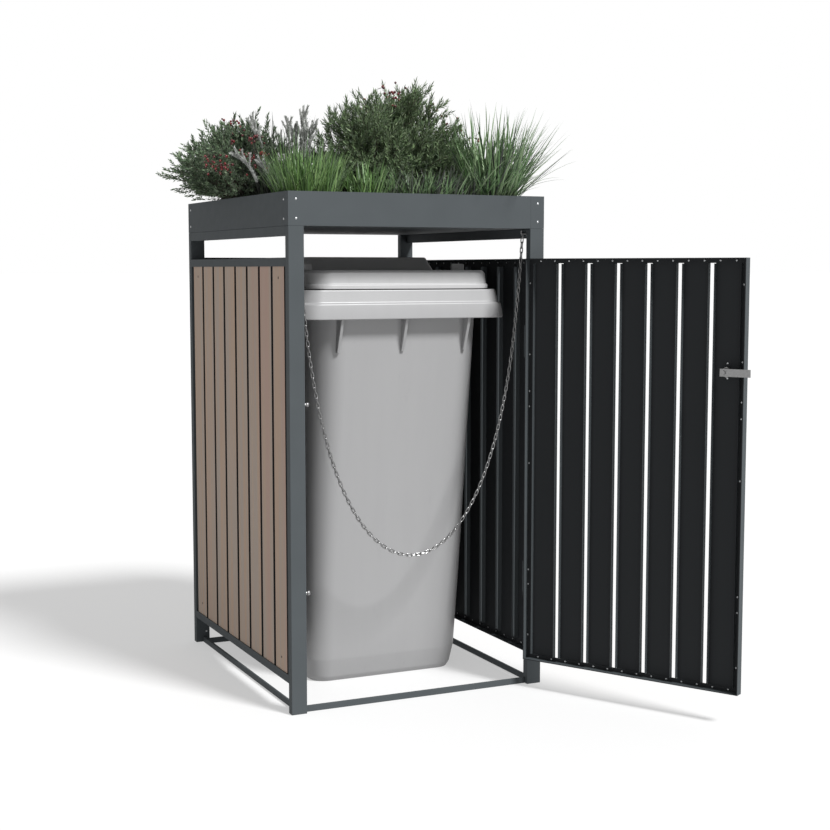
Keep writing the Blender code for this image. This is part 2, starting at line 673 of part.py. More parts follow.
# ---------------------------------------------------------------- planting
def mound(name, centre, radii, mat, seed, xs, ys, squash=0.16):
    """A closed lumpy mass above the soil, kept clear of the tray and of its neighbours."""
    bm = bmesh.new()
    bmesh.ops.create_icosphere(bm, subdivisions=4, radius=1)
    cx, cy, cz = centre
    for v in bm.verts:
        n = v.co.copy()
        a, b = math.atan2(n.y, n.x), n.z
        bump = math.sin(5 * a + seed) * math.cos(4 * b + seed) + 0.6 * math.sin(9 * a - 7 * b + 2 * seed)
        k = 1 - squash * 0.5 + squash * 0.5 * bump / 1.6
        v.co = Vector((cx + radii[0] * n.x * k, cy + radii[1] * n.y * k, cz + radii[2] * n.z * k))
    mesh = bpy.data.meshes.new(name)
    bm.to_mesh(mesh)
    bm.free()
    ob = add(name, mesh, mat, smooth=True)
    keep(ob, boxes("room", (*xs, *ys, soil_z + GAP, 2.0)))
    rim = LIP + GAP
    high = STORE_H + 0.001
    x, far = HW - rim, 2.0
    cut(ob, boxes("rim_x", (-far, -x, -far, far, 1.0, high), (x, far, -far, far, 1.0, high)))
    a, b = FRONT + rim, BACK - rim
    cut(ob, boxes("rim_y", (-far, far, -far, a, 1.0, high), (-far, far, b, far, 1.0, high)))
    return ob


# the planting meets along these lines
LEFT_X, RIGHT_X, LEFT_Y = 0.195 - HW, HW - 0.125, MID - 0.1125
AIR = 0.0025
FAR = 1.5
base = soil_z + GAP
mound(
    "shrub_centre", (0.065, MID - 0.020, base + 0.120), (0.230, 0.330, 0.235), GREEN, 1.3,
    (LEFT_X + AIR, RIGHT_X - AIR), (-FAR, FAR),
)
mound(
    "shrub_left", (0.0425 - HW, MID + 0.090, base + 0.080), (0.245, 0.300, 0.160), SILVER, 4.1,
    (-FAR, LEFT_X - AIR), (LEFT_Y + AIR, FAR),
)
mound(
    "grass_middle", (0.1175 - HW, MID - 0.250, base + 0.060), (0.110, 0.150, 0.190), GRASS, 2.2,
    (-FAR, LEFT_X - AIR), (-FAR, LEFT_Y - AIR),
)
mound(
    "grass_right", (HW + 0.0275, MID - 0.090, base + 0.070), (0.260, 0.310, 0.170), GRASS, 5.7,
    (RIGHT_X + AIR, FAR), (-FAR, FAR),
)

bpy.context.view_layer.update()
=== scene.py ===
"""Finishes, fixings, chain and planting of a planted wheelie-bin store.

Metres, +Z up, front at -Y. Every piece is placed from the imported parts. Most of those only get a finish;
the bin, lid, chain, soil and plants give way to finer pieces.
"""

import json
import math

import bpy
import numpy as np
from bpy.props import FloatProperty, FloatVectorProperty, IntProperty, PointerProperty
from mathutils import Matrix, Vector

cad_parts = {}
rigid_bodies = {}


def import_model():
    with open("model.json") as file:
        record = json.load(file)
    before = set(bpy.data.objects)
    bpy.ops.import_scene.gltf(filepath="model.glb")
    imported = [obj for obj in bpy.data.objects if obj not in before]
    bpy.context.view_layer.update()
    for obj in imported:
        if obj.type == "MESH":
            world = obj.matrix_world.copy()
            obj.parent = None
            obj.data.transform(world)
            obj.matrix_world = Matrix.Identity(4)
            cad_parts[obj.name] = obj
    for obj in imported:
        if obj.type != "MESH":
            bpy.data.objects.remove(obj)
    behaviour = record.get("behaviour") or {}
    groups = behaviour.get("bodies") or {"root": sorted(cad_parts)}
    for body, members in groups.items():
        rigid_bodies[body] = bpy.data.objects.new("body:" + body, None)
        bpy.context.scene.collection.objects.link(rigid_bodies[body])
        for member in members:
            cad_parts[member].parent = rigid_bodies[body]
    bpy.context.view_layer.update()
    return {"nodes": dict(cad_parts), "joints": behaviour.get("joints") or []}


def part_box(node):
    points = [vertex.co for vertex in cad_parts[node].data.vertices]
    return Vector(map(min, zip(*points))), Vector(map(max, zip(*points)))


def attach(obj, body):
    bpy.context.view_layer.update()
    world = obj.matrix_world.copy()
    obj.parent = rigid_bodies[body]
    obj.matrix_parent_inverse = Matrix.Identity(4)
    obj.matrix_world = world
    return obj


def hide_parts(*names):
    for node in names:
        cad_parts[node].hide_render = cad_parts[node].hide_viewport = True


bl_info = {
    "name": "Planted bin store",
    "version": (1, 0, 0),
    "blender": (4, 5, 0),
    "location": "3D View > Sidebar > Bin store",
    "description": "Finishes, fixings, chain and planting of a slatted bin store",
    "category": "Add Mesh",
}

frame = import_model()
NODES = frame["nodes"]


def edge(node, end, axis):
    """A node's lowest (end 0) or highest (end 1) coordinate along x, y or z (axis 0, 1 or 2)."""
    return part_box(node)[end][axis]


def centre(node, axis):
    """Half way between a node's two ends along an axis."""
    return (edge(node, LOW, axis) + edge(node, HIGH, axis)) / 2


def cast(three, by):
    """A colour or a direction times a number, or times three numbers one by one."""
    return tuple(np.array(three) * by)


LOW, HIGH = 0, 1
X, Y, Z = 0, 1, 2
LEFT, RIGHT, AHEAD, BEHIND = (-1, 0, 0), (1, 0, 0), (0, -1, 0), (0, 1, 0)
HALF = edge("post_front_right", HIGH, X)
FRONT = edge("post_front_left", LOW, Y)
BACK = edge("post_rear_left", HIGH, Y)
RIM = edge("tray_front", HIGH, Z)
TRAY = edge("tray_front", LOW, Z)
SOIL = edge("soil", HIGH, Z)
MID = (FRONT + BACK) / 2
PANEL_LOW = edge("panel_frame_left", LOW, Z)
PANEL_HIGH = edge("panel_frame_left", HIGH, Z)
BIN_X = centre("bin_body", X)

SWING = next(j for j in frame["joints"] if j["name"] == "door_swing")
HINGE = np.array(SWING["pos_m"])
OPEN = math.radians(-SWING["range_deg"][0])
DOOR_X = np.array((math.cos(OPEN), math.sin(OPEN), 0.0))  # from the free edge to the hinge
DOOR_Y = np.array((-math.sin(OPEN), math.cos(OPEN), 0.0))  # from the outside to the inside
UP = np.array((0.0, 0.0, 1.0))

# the safety chain's curve between its two hooks
CHAIN_HALF = 0.304  # half the way from hook to hook
CHAIN_DROP = 0.797  # from the hooks to the lowest point
CHAIN_FULL = 0.352  # height in z = low - full ln(cos(turn x)); more of it hangs closer to a parabola
CHAIN_END = TRAY - 0.0166  # height of the ends
CHAIN_Y = FRONT + 0.042
CHAIN_PAST = 0.002  # how far past each hook, in x, the curve is worked out
LINK_OVER = 0.0007  # the end links reach just past the curve, over the hook arms

PANEL_LEG = 0.020  # outer flange along a panel's top and bottom
TRAY_MARGIN = 0.012  # from the tray's outside to where leaves have to clear the rim
BACK_ROOM = 0.036  # how far leaves lean out behind the tray
RIM_CLEAR = 0.004  # how high leaves pass over the rim
GOLDEN = 2.39996  # golden angle, from one leaf to the next round a stem
NEEDLE_POINTS, NEEDLE_FACES = 5, 6
STEM_SUNK, BLADE_SUNK = 0.004, 0.003  # how far stems and blades start under the soil's top
STEM_MARGIN, BLADE_MARGIN, THICKET_MARGIN = 0.008, 0.012, 0.014  # from the tray's outside

COAT_SHINE = 0.09
PAINTED_LIGHT_INNER = 1.8  # painted light: how much lighter the inner coat of the door and right panel is made, against that of the left and rear
WOOD_COOL, WOOD_WARM, WOOD_ROSY = (0.93, 0.98, 1.02), (1.06, 0.97, 0.88), (1.03, 0.91, 0.91)
RAIL_EDGE = 0.0005  # how soft the line between boards and coated rails is
TYRE_INSIDE = 0.074  # radius where the tyre meets the hub


# ---- finishes
class Wire:
    """A value on its way through a finish. Sums, products and a comparison add Math nodes."""

    def __init__(self, finish, socket):
        self.finish, self.socket = finish, socket

    def calc(self, how, a, b):
        return self.finish.node("Math", {"operation": how}, {0: a, 1: b})

    def __add__(self, other):
        return self.calc("ADD", self, other)

    def __sub__(self, other):
        return self.calc("SUBTRACT", self, other)

    def __rsub__(self, other):
        return self.calc("SUBTRACT", other, self)

    def __mul__(self, other):
        return self.calc("MULTIPLY", self, other)

    def __gt__(self, other):
        return self.calc("GREATER_THAN", self, other)

    __radd__, __rmul__ = __add__, __mul__


class Finish:
    """A procedural material round one Principled shader."""

    def __init__(self, name, **constants):
        self.material = bpy.data.materials.new(name)
        self.material.use_nodes = True
        self.tree = self.material.node_tree
        self.skin = self.tree.nodes["Principled BSDF"]
        for socket, value in constants.items():
            self.set(socket.replace("_", " "), value)

    def set(self, socket, value):
        if isinstance(value, Wire):
            self.tree.links.new(value.socket, self.skin.inputs[socket])
        elif isinstance(value, tuple):
            self.skin.inputs[socket].default_value = (*value, 1)[: 4 if len(value) == 3 else len(value)]
        else:
            self.skin.inputs[socket].default_value = value

    def node(self, kind, settings=None, sockets=None, out=0):
        """Any node: its settings first, then the values or links of its sockets."""
        made = self.tree.nodes.new("ShaderNode" + kind)
        for key, value in (settings or {}).items():
            setattr(made, key, value)
        for key, value in (sockets or {}).items():
            if isinstance(value, Wire):
                self.tree.links.new(value.socket, made.inputs[key])
            else:
                made.inputs[key].default_value = value
        return Wire(self, made.outputs[out])

    def place(self):
        """Object coordinates."""
        return self.node("TexCoord", out="Object")

    def along(self, way, at=None):
        """Distance along a direction."""
        spot = at or self.place()
        return self.node("VectorMath", {"operation": "DOT_PRODUCT"}, {0: spot, 1: tuple(way)}, "Value")

    def facing(self, way, least=0.7):
        """1 where the surface looks along a direction fixed to the piece, else 0."""
        normal = self.node("TexCoord", out="Normal")
        return self.along(way, normal) > least

    def noise(self, scale, detail=2.0, rough=0.5, at=None):
        sockets = {"Vector": at or self.place(), "Scale": scale, "Detail": detail, "Roughness": rough}
        return self.node("TexNoise", None, sockets)

    def vector(self, x, y, z):
        return self.node("CombineXYZ", None, {0: x, 1: y, 2: z})

    def band(self, value, low, high):
        """0 below low, 1 above high, eased between."""
        sockets = {"Value": value, "From Min": low, "From Max": high}
        return self.node("MapRange", {"interpolation_type": "SMOOTHSTEP"}, sockets)

    def mix(self, amount, a, b, how="MIX"):
        """Two colours together."""
        a, b = ((*c, 1) if isinstance(c, tuple) else c for c in (a, b))
        return self.node("Mix", {"data_type": "RGBA", "blend_type": how}, {0: amount, 6: a, 7: b}, 2)

    def shade(self, colour, amount):
        """A colour times a grey value."""
        return self.mix(1.0, colour, self.vector(amount, amount, amount), "MULTIPLY")

    def bump(self, height, distance, strength=1.0):
        sockets = {"Strength": strength, "Distance": distance, "Height": height}
        self.set("Normal", self.node("Bump", None, sockets, "Normal"))


def powder_coat(name, coat, rough, swing, outward=None, inner=None):
    """Fine matt powder coat: tiny orange peel, faint cloudiness and a little handling shine.

    With an outward direction, the faces that look the other way have the darker inner coat, whose tone holds
    painted shade too.
    """
    f = Finish(name, Specular_IOR_Level=COAT_SHINE)
    cloud = f.noise(11.0, 3.0)
    if outward is not None:
        coat = f.mix(f.facing(cast(outward, -1), 0.5), coat, inner)
    f.set("Base Color", f.shade(coat, 0.92 + 0.16 * cloud))
    f.set("Roughness", rough + swing * f.noise(38.0, 2.0))
    f.bump(f.noise(1300.0, 2.0), 0.00012, 0.5)
    return f.material


def board_coat(name, outward, along, wood, coat, inner, rails=None):
    """Printed timber on the face that looks outward, plain coat on the legs, and inside a darker coat whose
    tone holds painted shade too.

    Rails are the heights that the boards run between on a panel whose frame is coated.
    """
    f = Finish(name, Specular_IOR_Level=COAT_SHINE)
    u, z = f.along(along), f.along(UP)
    broad = f.noise(1.0, 2.0, 0.5, f.vector(u * 46, z * 0.9, 3.0))
    tone = f.noise(1.0, 1.0, 0.5, f.vector(u * 17, z * 0.5, 9.0))
    fine = f.noise(1.0, 4.0, 0.65, f.vector(u * 420, z * 5.5, 1.0))
    pore = f.noise(1.0, 2.0, 0.6, f.vector(u * 1500, z * 30, 5.0))
    board = f.mix(f.band(broad, 0.38, 0.62), cast(wood, WOOD_COOL), cast(wood, WOOD_WARM))
    board = f.mix(f.band(tone, 0.50, 0.72), board, cast(wood, WOOD_ROSY))
    board = f.shade(board, 0.84 + 0.20 * fine + 0.12 * pore)
    plain = f.mix(f.facing(cast(outward, -1)), coat, inner)
    shown = f.facing(outward)
    if rails:
        low, high = rails
        shown = shown * f.band(z, low, low + RAIL_EDGE) * f.band(z, high, high - RAIL_EDGE)
    f.set("Base Color", f.mix(shown, plain, board))
    f.set("Roughness", 0.52 + 0.12 * fine)
    f.bump(0.7 * fine + 0.3 * pore, 0.00015, 0.4)
    return f.material


def moulded_plastic(name, colour):
    """Moulded polyethylene: faint flow lines, fine grain, scuffs, and darker and rougher towards the bottom.
    """
    f = Finish(name, IOR=1.5)
    at = f.place()
    x, y, z = f.along(RIGHT, at), f.along(BEHIND, at), f.along(UP, at)
    flow = f.noise(1.0, 3.0, 0.55, f.vector(x * 30, y * 30, z * 1.1))
    scuff = f.band(f.noise(1.0, 4.0, 0.7, f.vector(x * 60, y * 60, z * 14)), 0.60, 0.78)
    # darker and rougher towards the bottom
    foot = f.band(z, 0.16, 0.0)
    tone = 0.955 + 0.07 * flow - 0.05 * scuff - 0.10 * foot
    f.set("Base Color", f.shade(colour, tone))
    f.set("Roughness", 0.34 + 0.10 * f.noise(24.0, 3.0) + 0.12 * foot + 0.08 * scuff)
    f.bump(f.noise(900.0, 2.0), 0.00010, 0.35)
    return f.material


def plated_steel(name, colour, rough=0.3):
    """Zinc plate: mottled brightness over metal."""
    f = Finish(name, Metallic=1.0)
    spangle = f.noise(240.0, 3.0)
    f.set("Base Color", f.shade(colour, 0.80 + 0.40 * spangle))
    f.set("Roughness", rough - 0.05 + 0.18 * f.noise(500.0, 2.0))
    f.bump(spangle, 0.00006, 0.4)
    return f.material


def wheel_rubber(name, axle, tyre, hub):
    """Black tyre outside a grey moulded hub, parted by the distance from the axle."""
    f = Finish(name, IOR=1.5)
    at = f.place()
    y, z = f.along(BEHIND, at) - axle[0], f.along(UP, at) - axle[1]
    from_axle = f.node("Math", {"operation": "SQRT"}, {0: y * y + z * z})
    rubber = f.band(from_axle, TYRE_INSIDE, TYRE_INSIDE + 0.0005)
    dust = f.noise(60.0, 3.0)
    f.set("Base Color", f.shade(f.mix(rubber, hub, tyre), 0.8 + 0.5 * dust))
    f.set("Roughness", 0.55 + 0.30 * rubber)
    f.bump(f.noise(700.0, 2.0), 0.0002, 0.6)
    return f.material


def crumbly_soil(name, colour):
    """Dark potting soil with paler grit and bark."""
    f = Finish(name, Roughness=0.95)
    clod, grit = f.noise(90.0, 5.0, 0.7), f.noise(420.0, 2.0)
    f.set("Base Color", f.mix(f.band(grit, 0.58, 0.72), f.shade(colour, 0.5 + clod), cast(colour, 3.2)))
    f.bump(0.7 * clod + 0.3 * grit, 0.003, 0.9)
    return f.material


def shadowy_thicket(name, colour):
    """The dim inside of a shrub: leaf-sized blotches."""
    f = Finish(name, Roughness=0.9)
    blotch = f.noise(70.0, 5.0, 0.7)
    f.set("Base Color", f.shade(colour, 0.25 + 1.5 * blotch))
    f.bump(f.noise(130.0, 5.0, 0.7), 0.010, 1.0)
    return f.material


def leaf_tints(name, colours, rough=0.55):
    """A plant's leaf colours, one even tint for each group of leaves."""
    even = {"Roughness": rough, "IOR": 1.4, "Sheen_Weight": 0.15}
    return [Finish(f"{name} {i}", Base_Color=c, **even).material for i, c in enumerate(colours, 1)]


def dress(finish, *nodes):
    """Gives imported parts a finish."""
    for node in nodes:
        for slot in NODES[node].material_slots:
            slot.material = finish


def starting(*starts):
    """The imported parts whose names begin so."""
    return [n for n in NODES if n.startswith(starts)]


# ---- shapes
def unit(v):
    return v / np.maximum(np.linalg.norm(v, axis=-1, keepdims=True), 1e-12)


def piece(name, verts, faces, finishes, tints=None, body="housing", smooth=True):
    """A mesh object from a vertex array and a list of face arrays, riding on a body."""
    groups = [np.asarray(g) for g in faces]
    mesh = bpy.data.meshes.new(name)
    verts = np.asarray(verts, float).reshape(-1, 3)
    mesh.vertices.add(len(verts))
    mesh.vertices.foreach_set("co", verts.astype(np.float32).ravel())
    sizes = np.concatenate([np.full(len(g), g.shape[1]) for g in groups])
    loops = np.concatenate([g.ravel() for g in groups])
    mesh.loops.add(len(loops))
    mesh.loops.foreach_set("vertex_index", loops.astype(np.int32))
    mesh.polygons.add(len(sizes))
    mesh.polygons.foreach_set("loop_start", (np.cumsum(sizes) - sizes).astype(np.int32))
    for finish in finishes:
        mesh.materials.append(finish)
    if tints is not None:
        mesh.polygons.foreach_set("material_index", np.asarray(tints, np.int32))
    mesh.polygons.foreach_set("use_smooth", np.full(len(sizes), smooth))
    mesh.update(calc_edges=True)
    mesh.validate()
    ob = bpy.data.objects.new(name, mesh)
    bpy.context.scene.collection.objects.link(ob)
    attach(ob, body)
    return ob


def girdle(rows, sides, loop=False):
    """Quads between stacked rings of points, and from the last ring to the first when looped."""
    k = np.arange(sides)
    n = (k + 1) % sides
    i = np.arange(rows if loop else rows - 1)[:, None]
    a, b = i * sides, (i + 1) % rows * sides
    return np.stack([a + k, a + n, b + n, b + k], -1).reshape(-1, 4)


def caps(rows, sides):
    """Triangles that close the first and last ring, round the two points that follow the rings."""
    k = np.arange(sides)
    n = (k + 1) % sides
    last, point = (rows - 1) * sides, np.full(sides, rows * sides)
    return np.vstack([np.stack([n, k, point], -1), np.stack([last + k, last + n, point + 1], -1)])


def spun(profile, steps):
    """A profile of (radius, height) turned round z. Its first and last points are on the axis."""
    turn = np.linspace(0, 2 * np.pi, steps, endpoint=False)
    rings = np.array(profile[1:-1])
    radius, height = rings[:, :1], np.repeat(rings[:, 1:], steps, 1)
    wall = np.stack([radius * np.cos(turn), radius * np.sin(turn), height], -1).reshape(-1, 3)
    verts = np.vstack([wall, (0, 0, profile[0][1]), (0, 0, profile[-1][1])])
    return verts, [girdle(len(rings), steps), caps(len(rings), steps)]


def repeat(shape, places, turns=None, sizes=None):
    """Copies of a small shape: turn times shape times size, plus place."""
    verts, faces = shape
    places = np.asarray(places, float).reshape(-1, 3)
    many = np.repeat(verts[None], len(places), 0)
    if sizes is not None:
        many = many * np.asarray(sizes, float).reshape(-1, 1, 1)
    if turns is not None:
        many = np.einsum("nij,nvj->nvi", np.asarray(turns, float), many)
    many = many + places[:, None]
    shift = np.arange(len(places))[:, None, None] * len(verts)
    return many.reshape(-1, 3), [(g[None] + shift).reshape(-1, g.shape[1]) for g in faces]


def aimed(ways):
    """A turn for each direction that takes +z to it."""
    z = unit(np.asarray(ways, float).reshape(-1, 3))
    rough = np.where(np.abs(z[:, 2:]) > 0.9, (1.0, 0.0, 0.0), (0.0, 0.0, 1.0))
    x = unit(np.cross(rough, z))
    return np.stack([x, np.cross(z, x), z], -1)


def together(*parts):
    """Several (verts, faces) shapes as one."""
    verts, quads, tris, at = [], [], [], 0
    for v, faces in parts:
        verts.append(v)
        for g in faces:
            (quads if g.shape[1] == 4 else tris).append(g + at)
        at += len(v)
    return np.vstack(verts), [np.vstack(g) for g in (quads, tris) if g]


def tubes(lines, radii, sides=5):
    """Round stems along many lines of equal length; shape (stems, points, 3), radius by point."""
    count, points = lines.shape[:2]
    ahead = unit(np.gradient(lines, axis=1))
    across = unit(np.cross(ahead, (0.31, 0.17, 0.93)))
    over = np.cross(ahead, across)
    turn = np.linspace(0, 2 * np.pi, sides, endpoint=False)[:, None]
    ring = across[:, :, None] * np.cos(turn) + over[:, :, None] * np.sin(turn)
    rad = np.broadcast_to(radii, (count, points))[:, :, None, None]
    verts = (lines[:, :, None] + ring * rad).reshape(-1, 3)
    starts = np.arange(count)[:, None, None] * points * sides
    many = (starts + girdle(points, sides)).reshape(-1, 4)
    k = np.arange(sides)
    fan = np.stack([np.zeros(sides - 2, int), k[2:], k[1:-1]], -1)
    last = (points - 1) * sides
    ends = np.concatenate([starts + fan, starts + last + fan[:, ::-1]], 1).reshape(-1, 3)
    return verts, [many, ends]


def slivers(start, aim, side, length, width, thick=0.28):
    """Needle leaves: a base point, three points round the middle at 0.45 of the length, and a tip."""
    aim, side = unit(aim), unit(side - aim * np.sum(side * unit(aim), -1, keepdims=True))
    over = np.cross(aim, side)
    length, width = length[:, None], width[:, None]
    middle, out = start + aim * length * 0.45, side * width / 2
    five = [start, middle + out, middle - out, middle + over * width * thick, start + aim * length]
    verts = np.stack(five, 1)
    one = np.array([(1, 3, 4), (3, 2, 4), (2, 1, 4), (3, 1, 0), (2, 3, 0), (1, 2, 0)])
    faces = (np.arange(len(start))[:, None, None] * NEEDLE_POINTS + one).reshape(-1, 3)
    return verts.reshape(-1, 3), [faces]


BLADE_STEPS = 7
BLADE_POINTS = 3 * BLADE_STEPS + 1


def blades(root, heading, lean, bend, length, width, steps=BLADE_STEPS):
    """Grass blades. The angle from upright is lean + bend s^1.5, the spine is the running sum of its
    steps, and the width is that of the root times (1 - s^4); a keel under the middle gives thickness."""
    s = (np.arange(steps) + 0.5) / steps
    angle = lean[:, None] + bend[:, None] * s**1.5
    c, d = np.cos(heading)[:, None], np.sin(heading)[:, None]
    step = np.stack([np.sin(angle) * c, np.sin(angle) * d, np.cos(angle)], -1)
    path = np.cumsum(step * (length / steps)[:, None, None], 1)
    spine = root[:, None] + np.concatenate([np.zeros_like(path[:, :1]), path], 1)
    ahead = np.concatenate([step[:, :1], step], 1)[:, :-1]
    side = np.stack([-np.sin(heading), np.cos(heading), 0 * heading], -1)[:, None]
    over = np.cross(ahead, side)
    ring = spine[:, :-1]
    w = (width[:, None] * (1 - (np.arange(steps) / steps) ** 4))[..., None]
    three = np.stack([ring + side * w / 2, ring - side * w / 2, ring - over * w * 0.22], 2)
    verts = np.concatenate([three.reshape(len(root), -1, 3), spine[:, -1:]], 1)
    k, end, tip = np.arange(3), (steps - 1) * 3, steps * 3
    tris = np.vstack([np.stack([end + k, end + (k + 1) % 3, np.full(3, tip)], -1), [(2, 1, 0)]])
    shift = np.arange(len(root))[:, None, None] * BLADE_POINTS
    quads = girdle(steps, 3) + shift
    return verts.reshape(-1, 3), [quads.reshape(-1, 4), (tris + shift).reshape(-1, 3)]


def arcs(root, knee, tip, points):
    """Quadratic curves (1-t)^2 root + 2t(1-t) knee + t^2 tip; shape (curves, points, 3)."""
    t = np.linspace(0, 1, points)[None, :, None]
    root, knee, tip = root[:, None], knee[:, None], tip[:, None]
    return (1 - t) ** 2 * root + 2 * t * (1 - t) * knee + t**2 * tip


def at_share(lines, share):
    """Points and directions at a share (0..1) of each line; share has shape (lines, leaves)."""
    last = lines.shape[1] - 1
    where = np.clip(share * last, 0, last - 1e-6)
    i = where.astype(int)
    row = np.arange(len(lines))[:, None]
    a, b = lines[row, i], lines[row, i + 1]
    return a + (b - a) * (where - i)[..., None], unit(b - a)


def wound(rng, lines, per, first, last):
    """Spots on each stem between two shares of its length: the share, point, direction of the stem, and a
    direction out of it that turns by the golden angle from one spot to the next."""
    count = len(lines)
    t = first + (last - first) * (np.arange(per)[None] + rng.random((count, per))) / per
    spot, ahead = at_share(lines, t)
    around = GOLDEN * np.arange(per)[None] + rng.uniform(0, 6.28, (count, 1))
    x = unit(np.cross(ahead, (0.13, 0.21, 0.97)))
    y = np.cross(ahead, x)
    return t, spot, ahead, x * np.cos(around)[..., None] + y * np.sin(around)[..., None]


def leafy(rng, lines, per, first, long, wide, spread, ends=0.5):
    """Needles round each stem from a share of its length to its tip, at golden-angle turns, opened by
    spread from the stem and closing towards the tip."""
    t, spot, ahead, out = wound(rng, lines, per, first, 1)
    open_ = (spread * (1 - ends * (t - first) / (1 - first)) * rng.uniform(0.7, 1.25, t.shape))[..., None]
    aim = ahead * np.cos(open_) + out * np.sin(open_)
    side = np.cross(aim, ahead + 0.01)
    length = long * rng.uniform(0.65, 1.15, t.shape)
    width = wide * rng.uniform(0.8, 1.2, t.shape)
    flat = (a.reshape(-1, 3) for a in (spot, aim, side))
    return slivers(*flat, length.ravel(), width.ravel())


def dome(rng, count, middle, radii, lowest=-0.1, inner=0.72, lumps=0.12):
    """Points in a lumpy half ellipsoid: radius 1 - lumps + lumps sin(5a + 1) cos(4z), times the square
    root of a draw between inner and 1."""
    z = rng.uniform(lowest, 1, count)
    a = rng.uniform(0, 2 * np.pi, count)
    flat = np.sqrt(1 - z**2)
    way = np.stack([flat * np.cos(a), flat * np.sin(a), z], -1)
    r = (1 - lumps + lumps * np.sin(5 * a + 1) * np.cos(4 * z)) * rng.uniform(inner, 1, count) ** 0.5
    return np.array(middle) + way * radii * r[:, None]


def penned(points, margin):
    """Holds points this far inside the tray's outline."""
    points[:, 0] = np.clip(points[:, 0], -HALF + margin, HALF - margin)
    points[:, 1] = np.clip(points[:, 1], FRONT + margin, BACK - margin)
    return points


def stems(rng, tips, foot, gather=0.35, lift=0.35, points=9):
    """Stems from the soil near a foot to each tip, rising first and then leaning out."""
    root = np.array(foot) + (tips - foot) * (gather, gather, 0)
    root[:, 2] = SOIL - STEM_SUNK
    root = penned(root, STEM_MARGIN)
    knee = root * 0.6 + tips * 0.4
    knee[:, 2] = root[:, 2] + (tips[:, 2] - root[:, 2]) * (0.4 + lift) + rng.uniform(0, 0.02, len(tips))
    return arcs(root, knee, tips, points)


def sprigs(rng, lines, per, first, long, open_=0.75):
    """Short side shoots of five points, at golden-angle turns from a share of each stem to its tip. Each
    leaves the stem at an angle and bends back a little towards the light."""
    t, spot, ahead, out = wound(rng, lines, per, first, 0.98)
    angle = (open_ * rng.uniform(0.6, 1.3, t.shape))[..., None]
    way = ahead * np.cos(angle) + out * np.sin(angle)
    reach = (long * rng.uniform(0.6, 1.1, t.shape) * (1.25 - 0.6 * t))[..., None]
    knee = spot + way * reach * 0.5
    tip = spot + unit(way + (0, 0, 0.30)) * reach
    flat = (a.reshape(-1, 3) for a in (spot, knee, tip))
    return arcs(*flat, 5)


def over_rim(verts):
    """Lifts what crosses the tray's walls over their rim, and draws in what leans out behind:
    room (1 - e^(-past / room)) for each distance past the back."""
    past = np.maximum(verts[:, 1] - BACK, 0)
    verts[:, 1] += BACK_ROOM * (1 - np.exp(-past / BACK_ROOM)) - past
    x, y, z = verts.T
    outside = (np.abs(x) > HALF - TRAY_MARGIN) | (y < FRONT + TRAY_MARGIN) | (y > BACK - TRAY_MARGIN)
    verts[:, 2] = np.where(outside & (z < RIM + RIM_CLEAR), RIM + RIM_CLEAR, z)
    return verts


def tint_draw(rng, faces, weights):
    """One tint for each needle, repeated over its faces."""
    leaves = sum(len(g) for g in faces) // NEEDLE_FACES
    picks = rng.choice(len(weights), leaves, p=np.array(weights) / sum(weights))
    return np.repeat(picks, NEEDLE_FACES)


# ---- settings
def size(name, description, default):
    """A length."""
    return FloatProperty(name=name, description=description, default=default, unit="LENGTH")


def paint(name, description, default):
    """A colour."""
    return FloatVectorProperty(name=name, description=description, default=default, subtype="COLOR")


class StageSettings(bpy.types.PropertyGroup):
    lens: FloatProperty(name="Lens", description="Focal length", default=64.92, unit="CAMERA")
    key: FloatProperty(name="Key light", description="Strength of the high front light", default=5.6)
    spread: FloatProperty(name="Key softness", description="Angle of the high light", default=0.22)
    around: FloatProperty(name="Surround", description="Strength of the even light all round", default=0.46)


class ChainSettings(bpy.types.PropertyGroup):
    wire: size("Wire", "Thickness of a link's wire", 0.003)
    width: size("Link width", "Over a link", 0.0095)
    links: IntProperty(name="Links", description="Number of links, an odd number", default=145)


class FixingSettings(bpy.types.PropertyGroup):
    rivet: size("Rivet", "Radius of a rivet head", 0.0030)
    screw: size("Screw", "Radius of a small screw head", 0.0026)


class FinishSettings(bpy.types.PropertyGroup):
    coat: paint("Coat", "Powder coat", (0.056, 0.0635, 0.0675))
    # a darker coat on the inner faces, made darker still with painted shade
    inner: paint("Inner coat", "Coat on inner faces", (0.012, 0.013, 0.014))
    wood: paint("Boards", "Printed timber", (0.335, 0.264, 0.216))
    bin: paint("Bin", "Bin plastic", (0.272, 0.272, 0.275))
    # painted light: the lid is the bin's plastic made lighter, so its top under the tray looks lit
    lid: paint("Lid", "Lid plastic", (0.40, 0.40, 0.403))
    zinc: paint("Plating", "Plated steel", (0.30, 0.30, 0.30))
    soil: paint("Soil", "Potting soil", (0.035, 0.024, 0.016))


class PlantSettings(bpy.types.PropertyGroup):
    seed: IntProperty(name="Seed", description="Which planting is drawn", default=11)
    needle: size("Needle", "Shrub leaf length", 0.017)
    blade: size("Blade", "Width of a grass blade", 0.0042)


def colours(context):
    """The chosen finish colours as plain tuples, and a lighter copy of the inner coat, painted light, for the
    door and right panel.
    """
    chosen = context.scene.bin_store_finish
    found = {name: tuple(getattr(chosen, name)) for name in FinishSettings.__annotations__}
    return {**found, "lit": cast(found["inner"], PAINTED_LIGHT_INNER)}


# ---- stage and camera
EYE = (-1.5636, -3.3213, 1.0685)
EYE_TILT, EYE_TURN, SENSOR = 84.428, -25.084, 36
KEY_RIGHT, KEY_HIGH = 24, 47
FLOOR_HALF, FLOOR_Z = 300.0, -0.0005
FLOOR_GREY, FLOOR_GLOW = 0.32, 0.45


